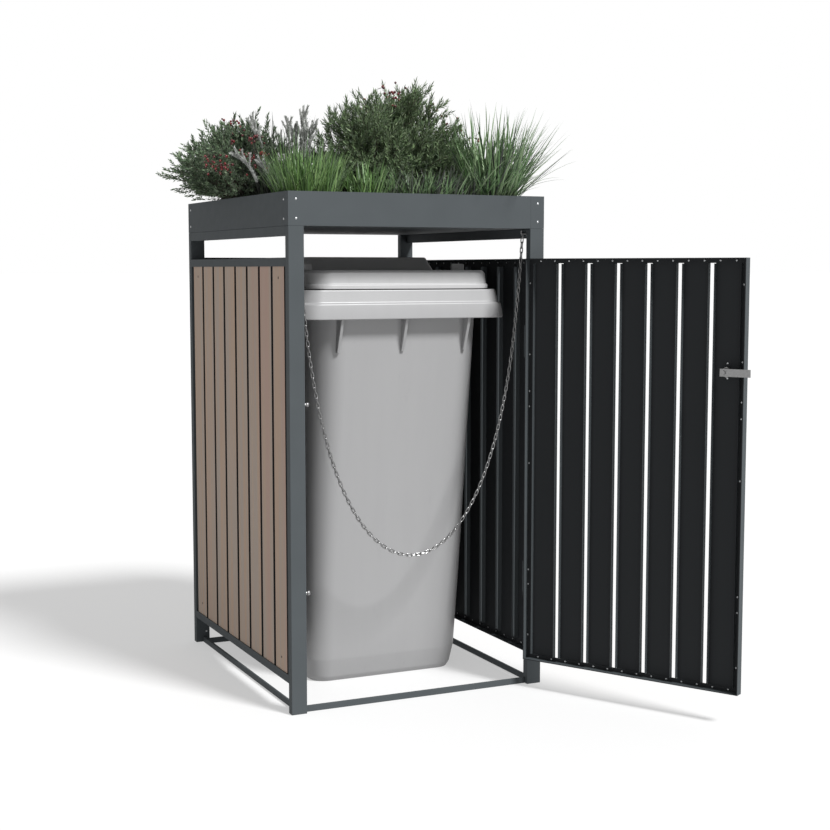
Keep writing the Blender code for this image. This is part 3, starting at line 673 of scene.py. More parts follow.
class BINSTORE_OT_stage(bpy.types.Operator):
    """Camera, pale floor and soft lights"""

    bl_idname = "binstore.stage"
    bl_label = "Stage"

    def execute(self, context):
        settings, scene = context.scene.bin_store_stage, context.scene
        scene.view_settings.view_transform = "Standard"
        eye = bpy.data.objects.new("camera", bpy.data.cameras.new("camera"))
        scene.collection.objects.link(eye)
        eye.data.lens, eye.data.sensor_width = settings.lens, SENSOR
        eye.location = EYE
        eye.rotation_euler = (math.radians(EYE_TILT), 0, math.radians(EYE_TURN))
        scene.camera = eye
        self.floor()
        self.sky(scene, settings.around)
        self.lamp(scene, settings.key, settings.spread)
        return {"FINISHED"}

    def floor(self):
        """A wide level sheet just under the feet."""
        corners = [(x * FLOOR_HALF, y * FLOOR_HALF, FLOOR_Z) for x, y in ((-1, -1), (1, -1), (1, 1), (-1, 1))]
        mesh = bpy.data.meshes.new("floor")
        mesh.from_pydata(corners, [], [(0, 1, 2, 3)])
        glow = {"Emission_Color": (1.0, 1.0, 1.0), "Emission_Strength": FLOOR_GLOW}
        pale = Finish("pale floor", Base_Color=(FLOOR_GREY,) * 3, Roughness=0.95, **glow)
        mesh.materials.append(pale.material)
        ob = bpy.data.objects.new("floor", mesh)
        bpy.context.scene.collection.objects.link(ob)

    def sky(self, scene, strength):
        """Even white surround, brighter to the eye than as a light."""
        world = scene.world or bpy.data.worlds.new("surround")
        scene.world = world
        world.use_nodes = True
        tree = world.node_tree
        tree.nodes.clear()
        out = tree.nodes.new("ShaderNodeOutputWorld")
        ground = tree.nodes.new("ShaderNodeBackground")
        rays = tree.nodes.new("ShaderNodeLightPath")
        pick = tree.nodes.new("ShaderNodeMapRange")
        pick.inputs["To Min"].default_value = strength
        pick.inputs["To Max"].default_value = 1.0
        tree.links.new(rays.outputs["Is Camera Ray"], pick.inputs["Value"])
        tree.links.new(pick.outputs[0], ground.inputs["Strength"])
        ground.inputs["Color"].default_value = (1, 1, 1, 1)
        tree.links.new(ground.outputs[0], out.inputs[0])

    def lamp(self, scene, strength, spread):
        """One soft distant light, turned right of the front and raised."""
        data = bpy.data.lights.new("key", "SUN")
        data.energy, data.angle = strength, spread
        ob = bpy.data.objects.new("key", data)
        scene.collection.objects.link(ob)
        ob.rotation_euler = (math.pi / 2 - math.radians(KEY_HIGH), 0, math.radians(KEY_RIGHT))


# ---- safety chain
def chain_curve():
    """The curve z = low - full ln(cos(turn x)), carried a little past each hook: x, z and the length
    along it from the middle."""
    turn = math.acos(math.exp(-CHAIN_DROP / CHAIN_FULL)) / CHAIN_HALF
    x = np.linspace(-CHAIN_HALF - CHAIN_PAST, CHAIN_HALF + CHAIN_PAST, 8001)
    z = CHAIN_END - CHAIN_DROP - CHAIN_FULL * np.log(np.cos(turn * x))
    run = np.concatenate([[0.0], np.cumsum(np.hypot(np.diff(x), np.diff(z)))])
    return x, z, run - run[-1] / 2


def chain_spot(s):
    """Point and direction at arc length s from the middle."""
    x, z, run = chain_curve()
    spot = np.stack([np.interp(s, run, x), np.full_like(s, CHAIN_Y), np.interp(s, run, z)], -1)
    ahead = np.stack([np.gradient(x, run), 0 * x, np.gradient(z, run)], -1)
    return spot, unit(np.stack([np.interp(s, run, ahead[:, k]) for k in range(3)], -1))


def chain_long():
    """Length of the curve from hook to hook."""
    x, z, run = chain_curve()
    return float(np.interp(CHAIN_HALF, x, run) - np.interp(-CHAIN_HALF, x, run))


class BINSTORE_OT_chain(bpy.types.Operator):
    """Safety chain of single links hung from its two hooks"""

    bl_idname = "binstore.chain"
    bl_label = "Safety chain"

    def execute(self, context):
        settings = context.scene.bin_store_chain
        wire, count = settings.wire, settings.links
        long = chain_long()
        s = np.linspace(-long / 2 - LINK_OVER, long / 2 + LINK_OVER, count)
        pitch = s[1] - s[0]
        spots, ahead = chain_spot(s)
        flat = np.tile((0.0, 1.0, 0.0), (count, 1))
        across = np.where(np.arange(count)[:, None] % 2 == 0, flat, np.cross(ahead, flat))
        turns = np.stack([ahead, across, np.cross(ahead, across)], -1)
        shape = repeat(self.link(pitch + wire, settings.width - wire, wire / 2), spots, turns)
        finish = plated_steel("chain plating", colours(context)["zinc"], 0.26)
        ob = piece("chain_links", *shape, [finish])
        whole = long + 2 * LINK_OVER + pitch  # over the end links' outer ends
        path, _ = chain_spot(np.linspace(-whole / 2, whole / 2, 61))
        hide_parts("chain")
        return {"FINISHED"}

    def link(self, long, wide, radius, turns=18, sides=7):
        """A round wire along a stadium: r (cos a, sin a), with (long - wide)/2 times 2.6 cos a, held
        between -1 and 1, added in x."""
        a = np.linspace(0, 2 * np.pi, turns, endpoint=False)
        r = wide / 2
        push = (long - wide) / 2 * np.clip(2.6 * np.cos(a), -1, 1)
        middle = np.stack([r * np.cos(a) + push, r * np.sin(a), 0 * a], -1)
        ahead = unit(np.roll(middle, -1, 0) - np.roll(middle, 1, 0))
        out = np.cross(ahead, UP)
        b = np.linspace(0, 2 * np.pi, sides, endpoint=False)[:, None]
        verts = middle[:, None] + radius * (np.cos(b) * out[:, None] + np.sin(b) * UP)
        i, k = np.meshgrid(np.arange(turns), np.arange(sides), indexing="ij")
        j, n = (i + 1) % turns, (k + 1) % sides
        quads = np.stack([i * sides + k, j * sides + k, j * sides + n, i * sides + n], -1)
        return verts.reshape(-1, 3), [quads.reshape(-1, 4)]


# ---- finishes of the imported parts
class BINSTORE_OT_steel(bpy.types.Operator):
    """Powder coat on the posts, rails, tray, panels and hinges"""

    bl_idname = "binstore.steel"
    bl_label = "Coated steel"

    def execute(self, context):
        c = colours(context)
        coat = powder_coat("anthracite coat", c["coat"], 0.52, 0.14)
        dress(coat, *starting("post_", "base_rail", "top_rail", "tray_", "hinge_"))
        left = powder_coat("left frame coat", c["coat"], 0.56, 0.12, LEFT, c["inner"])
        dress(left, "panel_frame_left")
        # the door frame's inner faces take the inner coat with painted light
        dress(powder_coat("door coat", c["coat"], 0.56, 0.12, -DOOR_Y, c["lit"]), "door_frame")
        return {"FINISHED"}


class BINSTORE_OT_boards(bpy.types.Operator):
    """Printed timber on the outer faces of the slats"""

    bl_idname = "binstore.boards"
    bl_label = "Slats"

    def execute(self, context):
        c = colours(context)
        # painted shade: the left boards' legs, seen in the gaps between the boards, take the dark inner
        # colour
        left = board_coat("left boards", LEFT, BEHIND, c["wood"], c["inner"], c["inner"])
        dress(left, *starting("slat_left"))
        # the door boards' inner faces take the inner coat with painted light
        door = board_coat("door boards", -DOOR_Y, DOOR_X, c["wood"], c["coat"], c["lit"])
        dress(door, *starting("slat_door"))
        for node, out, along, inner in (
            # the right panel's inner faces take the inner coat with painted light; the rear keeps the plain
            # inner coat
            ("panel_right", RIGHT, BEHIND, c["lit"]),
            ("panel_rear", BEHIND, RIGHT, c["inner"]),
        ):
            rails = (edge(node, LOW, Z) + PANEL_LEG, edge(node, HIGH, Z) - PANEL_LEG)
            dress(board_coat(node + " boards", out, along, c["wood"], c["coat"], inner, rails), node)
        return {"FINISHED"}


class BINSTORE_OT_metal(bpy.types.Operator):
    """Zinc plate on the lock, nuts, hooks and axle"""

    bl_idname = "binstore.metal"
    bl_label = "Plated fittings"

    def execute(self, context):
        finish = plated_steel("zinc plate", colours(context)["zinc"], 0.32)
        dress(finish, *starting("lock_", "dome_nut", "chain_hook", "bin_axle"))
        return {"FINISHED"}


# ---- wheelie bin
# half width, front, back, corner radius and height of each level, y from the store's middle
TUB = (
    (0.205, -0.165, 0.145, 0.050, 0.012),
    (0.215, -0.177, 0.152, 0.060, 0.060),
    (0.217, -0.193, 0.156, 0.060, 0.195),
    (0.218, -0.198, 0.250, 0.060, 0.238),
    (0.224, -0.228, 0.280, 0.070, 0.500),
    (0.231, -0.278, 0.318, 0.080, 0.9445),
)
BAND = (
    (0.290, -0.3135, 0.345, 0.060, 0.9445),
    (0.285, -0.3085, 0.340, 0.060, 0.983),
    (0.279, -0.3025, 0.334, 0.058, 0.985),
    (0.273, -0.2965, 0.328, 0.055, 1.017),
)
# heights from here up are from the lid's underside
LIP = (
    (0.244, -0.2925, 0.320, 0.050, 0.0),
    (0.250, -0.2985, 0.326, 0.055, 0.0005),
    (0.250, -0.2985, 0.326, 0.055, 0.011),
    (0.246, -0.2945, 0.322, 0.052, 0.013),
    (0.243, -0.2915, 0.322, 0.050, 0.040),
    (0.236, -0.2845, 0.318, 0.048, 0.0475),
    (0.232, -0.2805, 0.314, 0.045, 0.0445),
    (0.239, -0.2875, 0.316, 0.045, 0.036),
)
DECK = ((0.2352, -0.2837, 0.3172, 0.047, 0.0437), (0.2352, -0.2837, 0.3172, 0.047, 0.0467))
HUMP = (
    (0.184, -0.083, 0.300, 0.020, 0.045),
    (0.171, -0.060, 0.290, 0.018, 0.081),
    (0.150, -0.039, 0.269, 0.012, 0.081),
    (0.150, -0.039, 0.269, 0.012, 0.078),
    (0.168, -0.057, 0.287, 0.016, 0.078),
    (0.180, -0.079, 0.296, 0.018, 0.0455),
)
LID_HIGH = 0.081
WALL = 0.004
FOOT_IN = 0.008  # from the tub's lowest level to its flat foot
TUB_SOFT, LIP_SOFT, HUMP_SOFT = 0.0035, 0.0020, 0.004  # reach of the rounding from each corner

# lowest and highest level of a gusset, then the places and widths of the small blocks
GUSSET = ((0.004, -0.274, -0.260, 0.0015, 0.862), (0.004, -0.3075, -0.270, 0.0015, 0.9505))
GUSSET_X = (-0.1745, 0.0, 0.1745)
LUG_X, LUG_WIDE, LUG = (-0.235, -0.015, 0.205), 0.030, (0.325, 0.376, 0.965, 1.0168)
AXLE_BLOCK = (-0.150, 0.150, 0.1515, 0.290, 0.078, 0.130)
TAB_X, TAB_HALF, TAB_Y, TAB_Z = (-0.2155, 0.2155), 0.018, (-0.156, -0.146), (0.044, 0.064)
ARM_X, ARM_WIDE, ARM_Y, ARM_Z = (-0.190, 0.160), 0.024, (0.315, 0.367), (0.003, 0.013)
GRIP_Y, GRIP_Z = MID + 0.364, 0.995
EYE_IN, EYE_OUT = 0.0106, 0.0134
TYRE, HUB = (0.018,) * 3, (0.09,) * 3
SHARP = math.radians(40)


def inset(row, by, up=0.0):
    """A level drawn in on every side."""
    hw, y0, y1, rad, z = row
    return hw - by, y0 + by, y1 - by, max(rad - by, 0.01), z + up


def eased(rows, reach, steps=5):
    """Levels with each corner of their profile rounded: (1-t)^2 p + 2 t (1-t) corner + t^2 q."""
    rows = np.array(rows, float)
    out = [rows[0]]
    t = np.linspace(0, 1, steps)[:, None]
    for a, b, c in zip(rows[:-2], rows[1:-1], rows[2:]):
        back, on = (max(np.hypot(*(v - b)[[0, 4]]), 1e-6) for v in (a, c))
        p, q = b + (a - b) * min(reach / back, 0.45), b + (c - b) * min(reach / on, 0.45)
        out += list((1 - t) ** 2 * p + 2 * t * (1 - t) * b + t * t * q)
    return np.array(out + [rows[-1]])


def levels(rows, steps=14):
    """Rounded rectangles round the bin's middle, counterclockwise, one for each level."""
    hw, y0, y1, rad, z = np.asarray(rows, float).T[:, :, None]
    turn = np.concatenate([np.linspace(0, np.pi / 2, steps + 1) + k * np.pi / 2 for k in range(4)])
    right, rear = np.repeat((1, -1, -1, 1), steps + 1), np.repeat((1, 1, 0, 0), steps + 1)
    x = right * (hw - rad) + rad * np.cos(turn)
    y = np.where(rear, y1 - rad, y0 + rad) + rad * np.sin(turn)
    return np.stack([BIN_X + x, MID + y, z + 0 * turn], -1)


def walled(rings, loop=False):
    """Faces round stacked rings: closed into a loop, or capped at both ends."""
    rows, n = rings.shape[:2]
    if loop:
        return rings.reshape(-1, 3), [girdle(rows, n, True)]
    verts = np.vstack([rings.reshape(-1, 3), rings[0].mean(0), rings[-1].mean(0)])
    return verts, [girdle(rows, n), caps(rows, n)]


def block(x0, x1, y0, y1, z0, z1, soft=0.0025):
    """A box with rounded edges, given from the bin's middle."""
    half = (x1 - x0) / 2
    rows = [(half, y0, y1, soft, z) for z in (z0 + soft, z1 - soft)]
    ends = [(half - soft, y0 + soft, y1 - soft, soft * 0.4, z) for z in (z0, z1)]
    verts, faces = walled(levels([ends[0], *rows, ends[1]], 3))
    return verts + ((x0 + x1) / 2, 0, 0), faces


class BINSTORE_OT_bin(bpy.types.Operator):
    """Moulded bin and lid with soft edges, its grip, and rubber on its wheels"""

    bl_idname = "binstore.bin"
    bl_label = "Bin"

    def execute(self, context):
        c = colours(context)
        grey = moulded_plastic("bin plastic", c["bin"])
        dress(grey, "bin_grip")
        self.place("bin_shell", self.tub(), grey, "bin", "bin_body", "bin_plastic")
        # painted light: the lid takes a lighter copy of the bin plastic
        pale = moulded_plastic("lid plastic", c["lid"])
        self.place("lid_shell", self.lid(), pale, "lid", "bin_lid", "lid_plastic")
        for node in ("bin_wheel_left", "bin_wheel_right"):
            dress(wheel_rubber(node + " rubber", (centre(node, Y), centre(node, Z)), TYRE, HUB), node)
        return {"FINISHED"}

    def place(self, name, shape, finish, body, node, slot):
        """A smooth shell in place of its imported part."""
        ob = piece(name, *shape, [finish], body=body)
        ob.data.set_sharp_from_angle(angle=SHARP)
        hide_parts(node)

    def tub(self):
        """Outside up to the rim and inside down to the floor, with gussets, lugs and the axle block."""
        rim = inset(BAND[-1], WALL)
        down = [inset(row, WALL, WALL) for row in reversed(TUB)]
        foot = (*inset(TUB[0], FOOT_IN)[:4], 0.0)
        parts = [walled(levels(eased([foot, *TUB, *BAND, rim, *down], TUB_SOFT)))]
        verts, faces = walled(levels(GUSSET, 3))
        parts += [(verts + (x, 0, 0), faces) for x in GUSSET_X]
        parts += [block(x, x + LUG_WIDE, *LUG) for x in LUG_X]
        parts.append(block(*AXLE_BLOCK))
        return together(*parts)

    def lid(self):
        """Lip all round, shallow deck, raised middle, two tabs, and the arms and eyes on the grip."""
        under = edge("bin_lid", HIGH, Z) - LID_HIGH
        ring = eased(np.vstack([LIP, LIP[:1]]), LIP_SOFT)
        parts = []
        for rows, loop in ((ring[:-1], True), (DECK, False), (eased(HUMP, HUMP_SOFT), False)):
            rows = np.array(rows, float)
            rows[:, 4] += under
            parts.append(walled(levels(rows), loop))
        for x in TAB_X:
            parts.append(block(x - TAB_HALF, x + TAB_HALF, *TAB_Y, *(under + z for z in TAB_Z)))
        for x in ARM_X:
            parts.append(block(x, x + ARM_WIDE, *ARM_Y, *(under + z for z in ARM_Z)))
            parts.append(self.eye(x, x + ARM_WIDE))
        return together(*parts)

    def eye(self, x0, x1):
        """A ring round the grip: outer and inner circles about its axis, joined at both faces."""
        turn = np.linspace(0, 2 * np.pi, 40, endpoint=False)
        corners = ((EYE_IN, x0), (EYE_OUT, x0), (EYE_OUT, x1), (EYE_IN, x1))
        rings = [
            np.stack([BIN_X + x + 0 * turn, GRIP_Y + r * np.cos(turn), GRIP_Z + r * np.sin(turn)], -1)
            for r, x in corners
        ]
        return walled(np.array(rings), True)


# ---- rivets and screws
RIVET_SINK = 0.0003
SCREW, SCREW_BROWN, SCREW_DARK = 0.0034, (0.11, 0.09, 0.075), (0.05, 0.045, 0.04)
SCREW_Z = (PANEL_LOW + 0.052, PANEL_HIGH - 0.047)
TRAY_Z = (RIM - 0.0185, TRAY + 0.0165)
FRONT_X, REAR_X = (-HALF + 0.020, HALF - 0.018), (-HALF + 0.020, HALF - 0.020)
SIDE_Y = (FRONT + 0.030, BACK - 0.022)
POST_Z = (0.25, 0.60, 0.92)
FOOT_HEAD = (-HALF + 0.030, BACK - 0.021, 0.030)
LEG_IN, LEG_HEADS = 0.010, (16, 14)  # from a panel's top or bottom to its heads; right and rear panel
SHEET = 0.002  # wall of the panels' legs
RAIL_IN, RAIL_HEADS = 0.006, 14
RAIL_FREE, RAIL_HINGE = 0.024, -0.036  # first and last head of a rail
STILE_FREE, STILE_HINGE = 0.0055, -0.0050
STILE_SHARES = (0.06, 0.235, 0.326, 0.364, 0.506, 0.774, 0.811, 0.940)  # of the height, from the top
FREE_IN = 0.007  # from the door's free edge to where its heads are measured from
DOOR_FACE, LOCK_FACE = 0.0070, 0.0047  # through the door, from the hinge axis
LOCK_RISES = (0.0205, -0.0140)


def rivet(radius, high=0.42):
    """A domed head: a quarter-ellipse profile with a flat base sunk slightly into the sheet."""
    a = np.linspace(0, np.pi / 2, 5)
    rim = [(radius * math.cos(t), radius * high * math.sin(t)) for t in a[:-1]]
    return spun([(0, -RIVET_SINK), (radius, -RIVET_SINK), *rim, (0, radius * high)], 14)


def on_door(x, y, z):
    """A point given along the closed door (x from the hinge), through it (y) and up."""
    return HINGE * (1, 1, 0) + DOOR_X * x + DOOR_Y * y + UP * z


def along_door(node):
    """How far each of a node's points lies from the hinge axis, along the door."""
    return (np.array([v.co for v in NODES[node].data.vertices]) - HINGE) @ DOOR_X


class BINSTORE_OT_fixings(bpy.types.Operator):
    """Rivets and screws of the store and its door"""

    bl_idname = "binstore.fixings"
    bl_label = "Rivets and screws"

    def execute(self, context):
        settings = context.scene.bin_store_fixings
        zinc = plated_steel("rivet heads", (0.50, 0.51, 0.52), 0.36)
        brown = board_coat("board screws", LEFT, BEHIND, SCREW_BROWN, SCREW_DARK, SCREW_DARK)
        for name, heads, head, finish, slot, body in (
            ("rivets_housing", self.housing(), rivet(settings.rivet), zinc, "zinc", "housing"),
            ("rivets_door", self.door(), rivet(settings.screw), zinc, "zinc", "door"),
            ("board_screws", self.board_screws(), rivet(SCREW, 0.25), brown, "slat_coat", "housing"),
        ):
            spots, ways = zip(*heads)
            piece(name, *repeat(head, spots, aimed(ways)), [finish], body=body)
        return {"FINISHED"}

    def housing(self):
        """Heads on the tray corners, the panels' inner legs and the posts."""
        heads = []
        for z in TRAY_Z:
            heads += [((x, FRONT, z), AHEAD) for x in FRONT_X]
            heads += [((-HALF, y, z), LEFT) for y in SIDE_Y]
            heads += [((HALF, y, z), RIGHT) for y in SIDE_Y]
            heads += [((x, BACK, z), BEHIND) for x in REAR_X]
        side, rear = edge("panel_right", HIGH, X) - SHEET, edge("panel_rear", HIGH, Y) - SHEET
        y0, y1 = edge("panel_right", LOW, Y), edge("panel_right", HIGH, Y)
        for z in (PANEL_HIGH - LEG_IN, PANEL_LOW + LEG_IN):
            heads += [((side, y, z), LEFT) for y in np.linspace(y0 + 0.03, y1 - 0.03, LEG_HEADS[0])]
        for z in (edge("panel_rear", HIGH, Z) - LEG_IN, PANEL_LOW + LEG_IN):
            heads += [((x, rear, z), AHEAD) for x in np.linspace(-HALF + 0.07, HALF - 0.07, LEG_HEADS[1])]
        face = edge("panel_right", LOW, X) + 0.0005
        heads += [((face + 0.010, y0, z), AHEAD) for z in POST_Z]
        return [*heads, (FOOT_HEAD, AHEAD)]

    def door(self):
        """Fourteen heads along each rail, eight down each stile and two by the lock, on the inner face."""
        free = along_door("door_frame").min() + FREE_IN
        spots = []
        for z in (PANEL_HIGH - RAIL_IN, PANEL_LOW + RAIL_IN):
            places = np.linspace(free + RAIL_FREE, RAIL_HINGE, RAIL_HEADS)
            spots += [on_door(x, DOOR_FACE, z) for x in places]
        for share in STILE_SHARES:
            z = PANEL_HIGH - share * (PANEL_HIGH - PANEL_LOW)
            spots += [on_door(x, DOOR_FACE, z) for x in (free + STILE_FREE, STILE_HINGE)]
        lock = along_door("lock_body")
        across, up = (lock.min() + lock.max()) / 2, centre("lock_body", Z)
        spots += [on_door(across, LOCK_FACE, up + rise) for rise in LOCK_RISES]
        return [(spot, DOOR_Y) for spot in spots]

    def board_screws(self):
        """Two small heads on each outermost side board."""
        heads = []
        for node in ("slat_left_1", "slat_left_8"):
            x, y = edge(node, LOW, X), centre(node, Y)
            heads += [((x, y, z), LEFT) for z in SCREW_Z]
        return heads


# ---- planting
SOIL_POINTS, SOIL_SEED = (110, 130), 5
SOIL_SUNK, SOIL_LUMP, SOIL_CRUMB = 0.003, 0.0014, 0.0012


class BINSTORE_OT_soil(bpy.types.Operator):
    """Crumbly soil in the tray"""

    bl_idname = "binstore.soil"
    bl_label = "Soil"

    def execute(self, context):
        """Top z = lump sin(61x + 3 sin 23y) cos(57y + 2 sin 31x) plus a random crumb, over a flat base."""
        low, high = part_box("soil")
        nx, ny = SOIL_POINTS
        rng = np.random.default_rng(SOIL_SEED)
        x, y = np.meshgrid(np.linspace(low.x, high.x, nx), np.linspace(low.y, high.y, ny), indexing="ij")
        lump = SOIL_LUMP * np.sin(61 * x + 3 * np.sin(23 * y)) * np.cos(57 * y + 2 * np.sin(31 * x))
        z = high.z - SOIL_SUNK + lump + SOIL_CRUMB * rng.standard_normal(x.shape)
        top = np.stack([x, y, z], -1).reshape(-1, 3)
        base = top * (1, 1, 0) + (0, 0, low.z)
        k = (np.arange(nx - 1)[:, None] * ny + np.arange(ny - 1)).ravel()
        quads = np.stack([k, k + ny, k + ny + 1, k + 1], -1)
        n = nx * ny
        i, j = np.arange(nx - 1), np.arange(ny - 1)
        ring = np.concatenate([i * ny, (nx - 1) * ny + j, (nx - 1 - i) * ny + ny - 1, ny - 1 - j])
        ahead = np.roll(ring, -1)
        walls = np.stack([ring, ring + n, ahead + n, ahead], -1)[:, ::-1]
        finish = crumbly_soil("potting soil", colours(context)["soil"])
        ob = piece("soil_bed", np.vstack([top, base]), [quads, quads[:, ::-1] + n, walls], [finish])
        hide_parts("soil")
        return {"FINISHED"}


GREENS = ((0.085, 0.135, 0.055), (0.120, 0.180, 0.080), (0.045, 0.080, 0.032), (0.190, 0.240, 0.140))
GREYS = ((0.070, 0.115, 0.056), (0.110, 0.165, 0.088), (0.038, 0.066, 0.032), (0.180, 0.230, 0.145))
BRIGHT = ((0.085, 0.175, 0.045), (0.120, 0.225, 0.060), (0.050, 0.100, 0.030), (0.180, 0.280, 0.100))
LONG = ((0.110, 0.205, 0.080), (0.200, 0.290, 0.150), (0.055, 0.105, 0.042), (0.035, 0.042, 0.035))
# painted shade: dark tints for the blades of the shaded clumps
DARK = ((0.043, 0.055, 0.040), (0.068, 0.085, 0.060), (0.028, 0.033, 0.027), (0.090, 0.125, 0.075))
SILVERY = ((0.36, 0.37, 0.35), (0.25, 0.26, 0.25), (0.46, 0.47, 0.45))
TWIGS = ((0.055, 0.040, 0.028), (0.085, 0.065, 0.045))
BERRY_STALK = 0.016  # longest stalk
BERRY = ((0.120, 0.007, 0.009), (0.055, 0.004, 0.006))


def thicket(name, middle, radii, foot, colour):
    """The dim inside of a shrub: r = 1 - 0.16 + 0.16 sin(5a + 2) cos 6b over a half ball, closed below."""
    turns, rows = 48, 16
    a = np.linspace(0, 2 * np.pi, turns, endpoint=False)
    b = np.linspace(0.05, np.pi / 2, rows)[:, None]
    r = 0.84 + 0.16 * np.sin(5 * a + 2) * np.cos(6 * b)
    x = middle[0] + radii[0] * r * np.cos(a) * np.cos(b - 0.05)
    y = middle[1] + radii[1] * r * np.sin(a) * np.cos(b - 0.05)
    z = foot + (radii[2] * r) * np.sin(b)
    wall = np.stack([x, y, z + 0 * a], -1)[:-1].reshape(-1, 3)
    verts = np.vstack([wall, (middle[0], middle[1], foot), (middle[0], middle[1], foot + radii[2] * 0.84)])
    faces = [girdle(rows - 1, turns), caps(rows - 1, turns)]
    return piece(name, penned(verts, THICKET_MARGIN), faces, [shadowy_thicket(name + " shade", colour)])


def shrub_leaves(name, rng, tips, foot, tints, weights, shoots, per, needle, gather=0.35, lift=0.35):
    """Stems up to the given tips with side shoots, and needles on both: a piece of leaves and one of wood."""
    lines = stems(rng, tips, foot, gather, lift)
    side = sprigs(rng, lines, shoots, first=0.40, long=0.075)
    long, wide, spread = needle
    leaves = [leafy(rng, *on, long, wide, spread) for on in ((lines, per, 0.62), (side, per, 0.10))]
    verts, faces = together(*leaves)
    tint = tint_draw(rng, faces, weights)
    leaves = piece(name + "_leaves", over_rim(verts), faces, tints, tint, smooth=False)
    stem = tubes(lines, np.linspace(0.0017, 0.0006, lines.shape[1]))
    verts, faces = together(stem, tubes(side, np.linspace(0.0007, 0.0003, side.shape[1]), 3))
    twigs = piece(name + "_twigs", over_rim(verts), faces, [plant_stem(name)])
    return leaves, twigs


def plant_stem(name):
    """Mottled brown bark."""
    f = Finish(name + " bark", Roughness=0.8)
    f.set("Base Color", f.mix(f.noise(160.0, 3.0), TWIGS[0], TWIGS[1]))
    f.bump(f.noise(600.0, 2.0), 0.0004, 0.6)
    return f.material


SHRUB_MIX = (4, 3, 4, 1)
PINE_FOOT, LEFT_FOOT = (0.045, MID - 0.01, SOIL), (-0.225, MID + 0.12, SOIL)
# number, middle and radii of each dome of tips
MOUND = (
    (100, (-0.010, MID - 0.03, SOIL + 0.05), (0.130, 0.28, 0.240)),
    (40, (0.160, MID - 0.19, SOIL + 0.03), (0.080, 0.13, 0.185)),
)
CROWN = ((140, (0.158, MID, SOIL + 0.06), (0.140, 0.27, 0.266)),)
SPRAWL = (
    (85, (-0.285, MID + 0.09, SOIL + 0.03), (0.135, 0.27, 0.195)),
    (80, (-0.330, MID + 0.08, SOIL + 0.07), (0.150, 0.24, 0.135)),
)
# piece, slot, middle, radii and colour of each shrub's dim inside
THICKETS = (
    ("thicket_centre", "shrub", (0.040, MID - 0.01), (0.125, 0.24, 0.175), (0.020, 0.034, 0.016)),
    ("thicket_left", "silver_shrub", (-0.250, MID + 0.12), (0.075, 0.21, 0.125), (0.026, 0.036, 0.022)),
)


class BINSTORE_OT_shrubs(bpy.types.Operator):
    """Needle-leaved shrubs in the middle and at the left"""

    bl_idname = "binstore.shrubs"
    bl_label = "Shrubs"

    def execute(self, context):
        settings = context.scene.bin_store_plants
        rng = np.random.default_rng(settings.seed)
        green, grey = leaf_tints("shrub leaf", GREENS), leaf_tints("grey leaf", GREYS)
        # length, width and opening of a needle, then each shrub's foot, tints, needles to a stem and habit
        pine, small = (settings.needle, 0.0032, 0.80), (0.0125, 0.0042, 0.80)
        pines, sprawl = (PINE_FOOT, green, 27, pine), (LEFT_FOOT, grey, 24, small, 0.30, 0.15)
        made = []
        for name, node, slot, domes, lowest, clip, (foot, tints, per, needle, *habit) in (
            ("shrub_centre", "shrub_centre", "shrub", MOUND, -0.05, (-0.125, 0.215), pines),
            ("shrub_crown", None, "shrub", CROWN, -0.05, (-0.125, 0.265), pines),
            ("shrub_left", "shrub_left", "silver_shrub", SPRAWL, 0.02, (-0.500, -0.170), sprawl),
        ):
            tips = np.vstack([dome(rng, *one, lowest) for one in domes])
            tips[:, 0] = np.clip(tips[:, 0], *clip)
            leaves, twigs = shrub_leaves(name, rng, tips, foot, tints, SHRUB_MIX, 7, per, needle, *habit)
            if node:
                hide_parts(node)
            made += [(leaves, slot), (twigs, slot)]
        for name, slot, middle, radii, colour in THICKETS:
            made.append((thicket(name, middle, radii, SOIL, colour), slot))
        return {"FINISHED"}


# blades, middle, half spread, length, lean from upright and further bend of each clump
FAN = (
    (300, (0.275, MID - 0.20), (0.050, 0.15), (0.16, 0.272), (0.05, 1.12), 0.25),
    (330, (0.275, MID - 0.18), (0.055, 0.16), (0.12, 0.225), (0.10, 1.02), 0.75),
    (240, (0.280, MID + 0.13), (0.045, 0.17), (0.12, 0.235), (0.05, 0.95), 0.45),
    (170, (0.225, MID - 0.33), (0.060, 0.030), (0.10, 0.21), (0.10, 1.05), 0.80),
)
LAWN = (
    (700, (-0.245, MID - 0.275), (0.075, 0.095), (0.060, 0.145), (0.02, 0.75), 0.70),
    (150, (-0.120, MID - 0.345), (0.050, 0.030), (0.050, 0.110), (0.02, 0.80), 0.80),
)
UNDERGROWTH = (
    (300, (0.040, MID - 0.340), (0.165, 0.035), (0.035, 0.095), (0.05, 0.95), 0.90),
    (260, (0.050, MID + 0.330), (0.170, 0.040), (0.040, 0.110), (0.05, 0.90), 0.90),
    (150, (-0.205, MID - 0.120), (0.050, 0.060), (0.110, 0.200), (0.02, 0.70), 0.25),
    (170, (-0.120, MID + 0.260), (0.080, 0.090), (0.040, 0.110), (0.05, 0.90), 0.90),
)
SHADED = (
    (170, (-0.225, MID - 0.060), (0.070, 0.050), (0.120, 0.235), (0.02, 0.85), 0.30),
    (160, (0.050, MID - 0.335), (0.150, 0.035), (0.040, 0.110), (0.05, 0.95), 0.85),
)
BLADE_MIX = (3, 3, 3, 1)


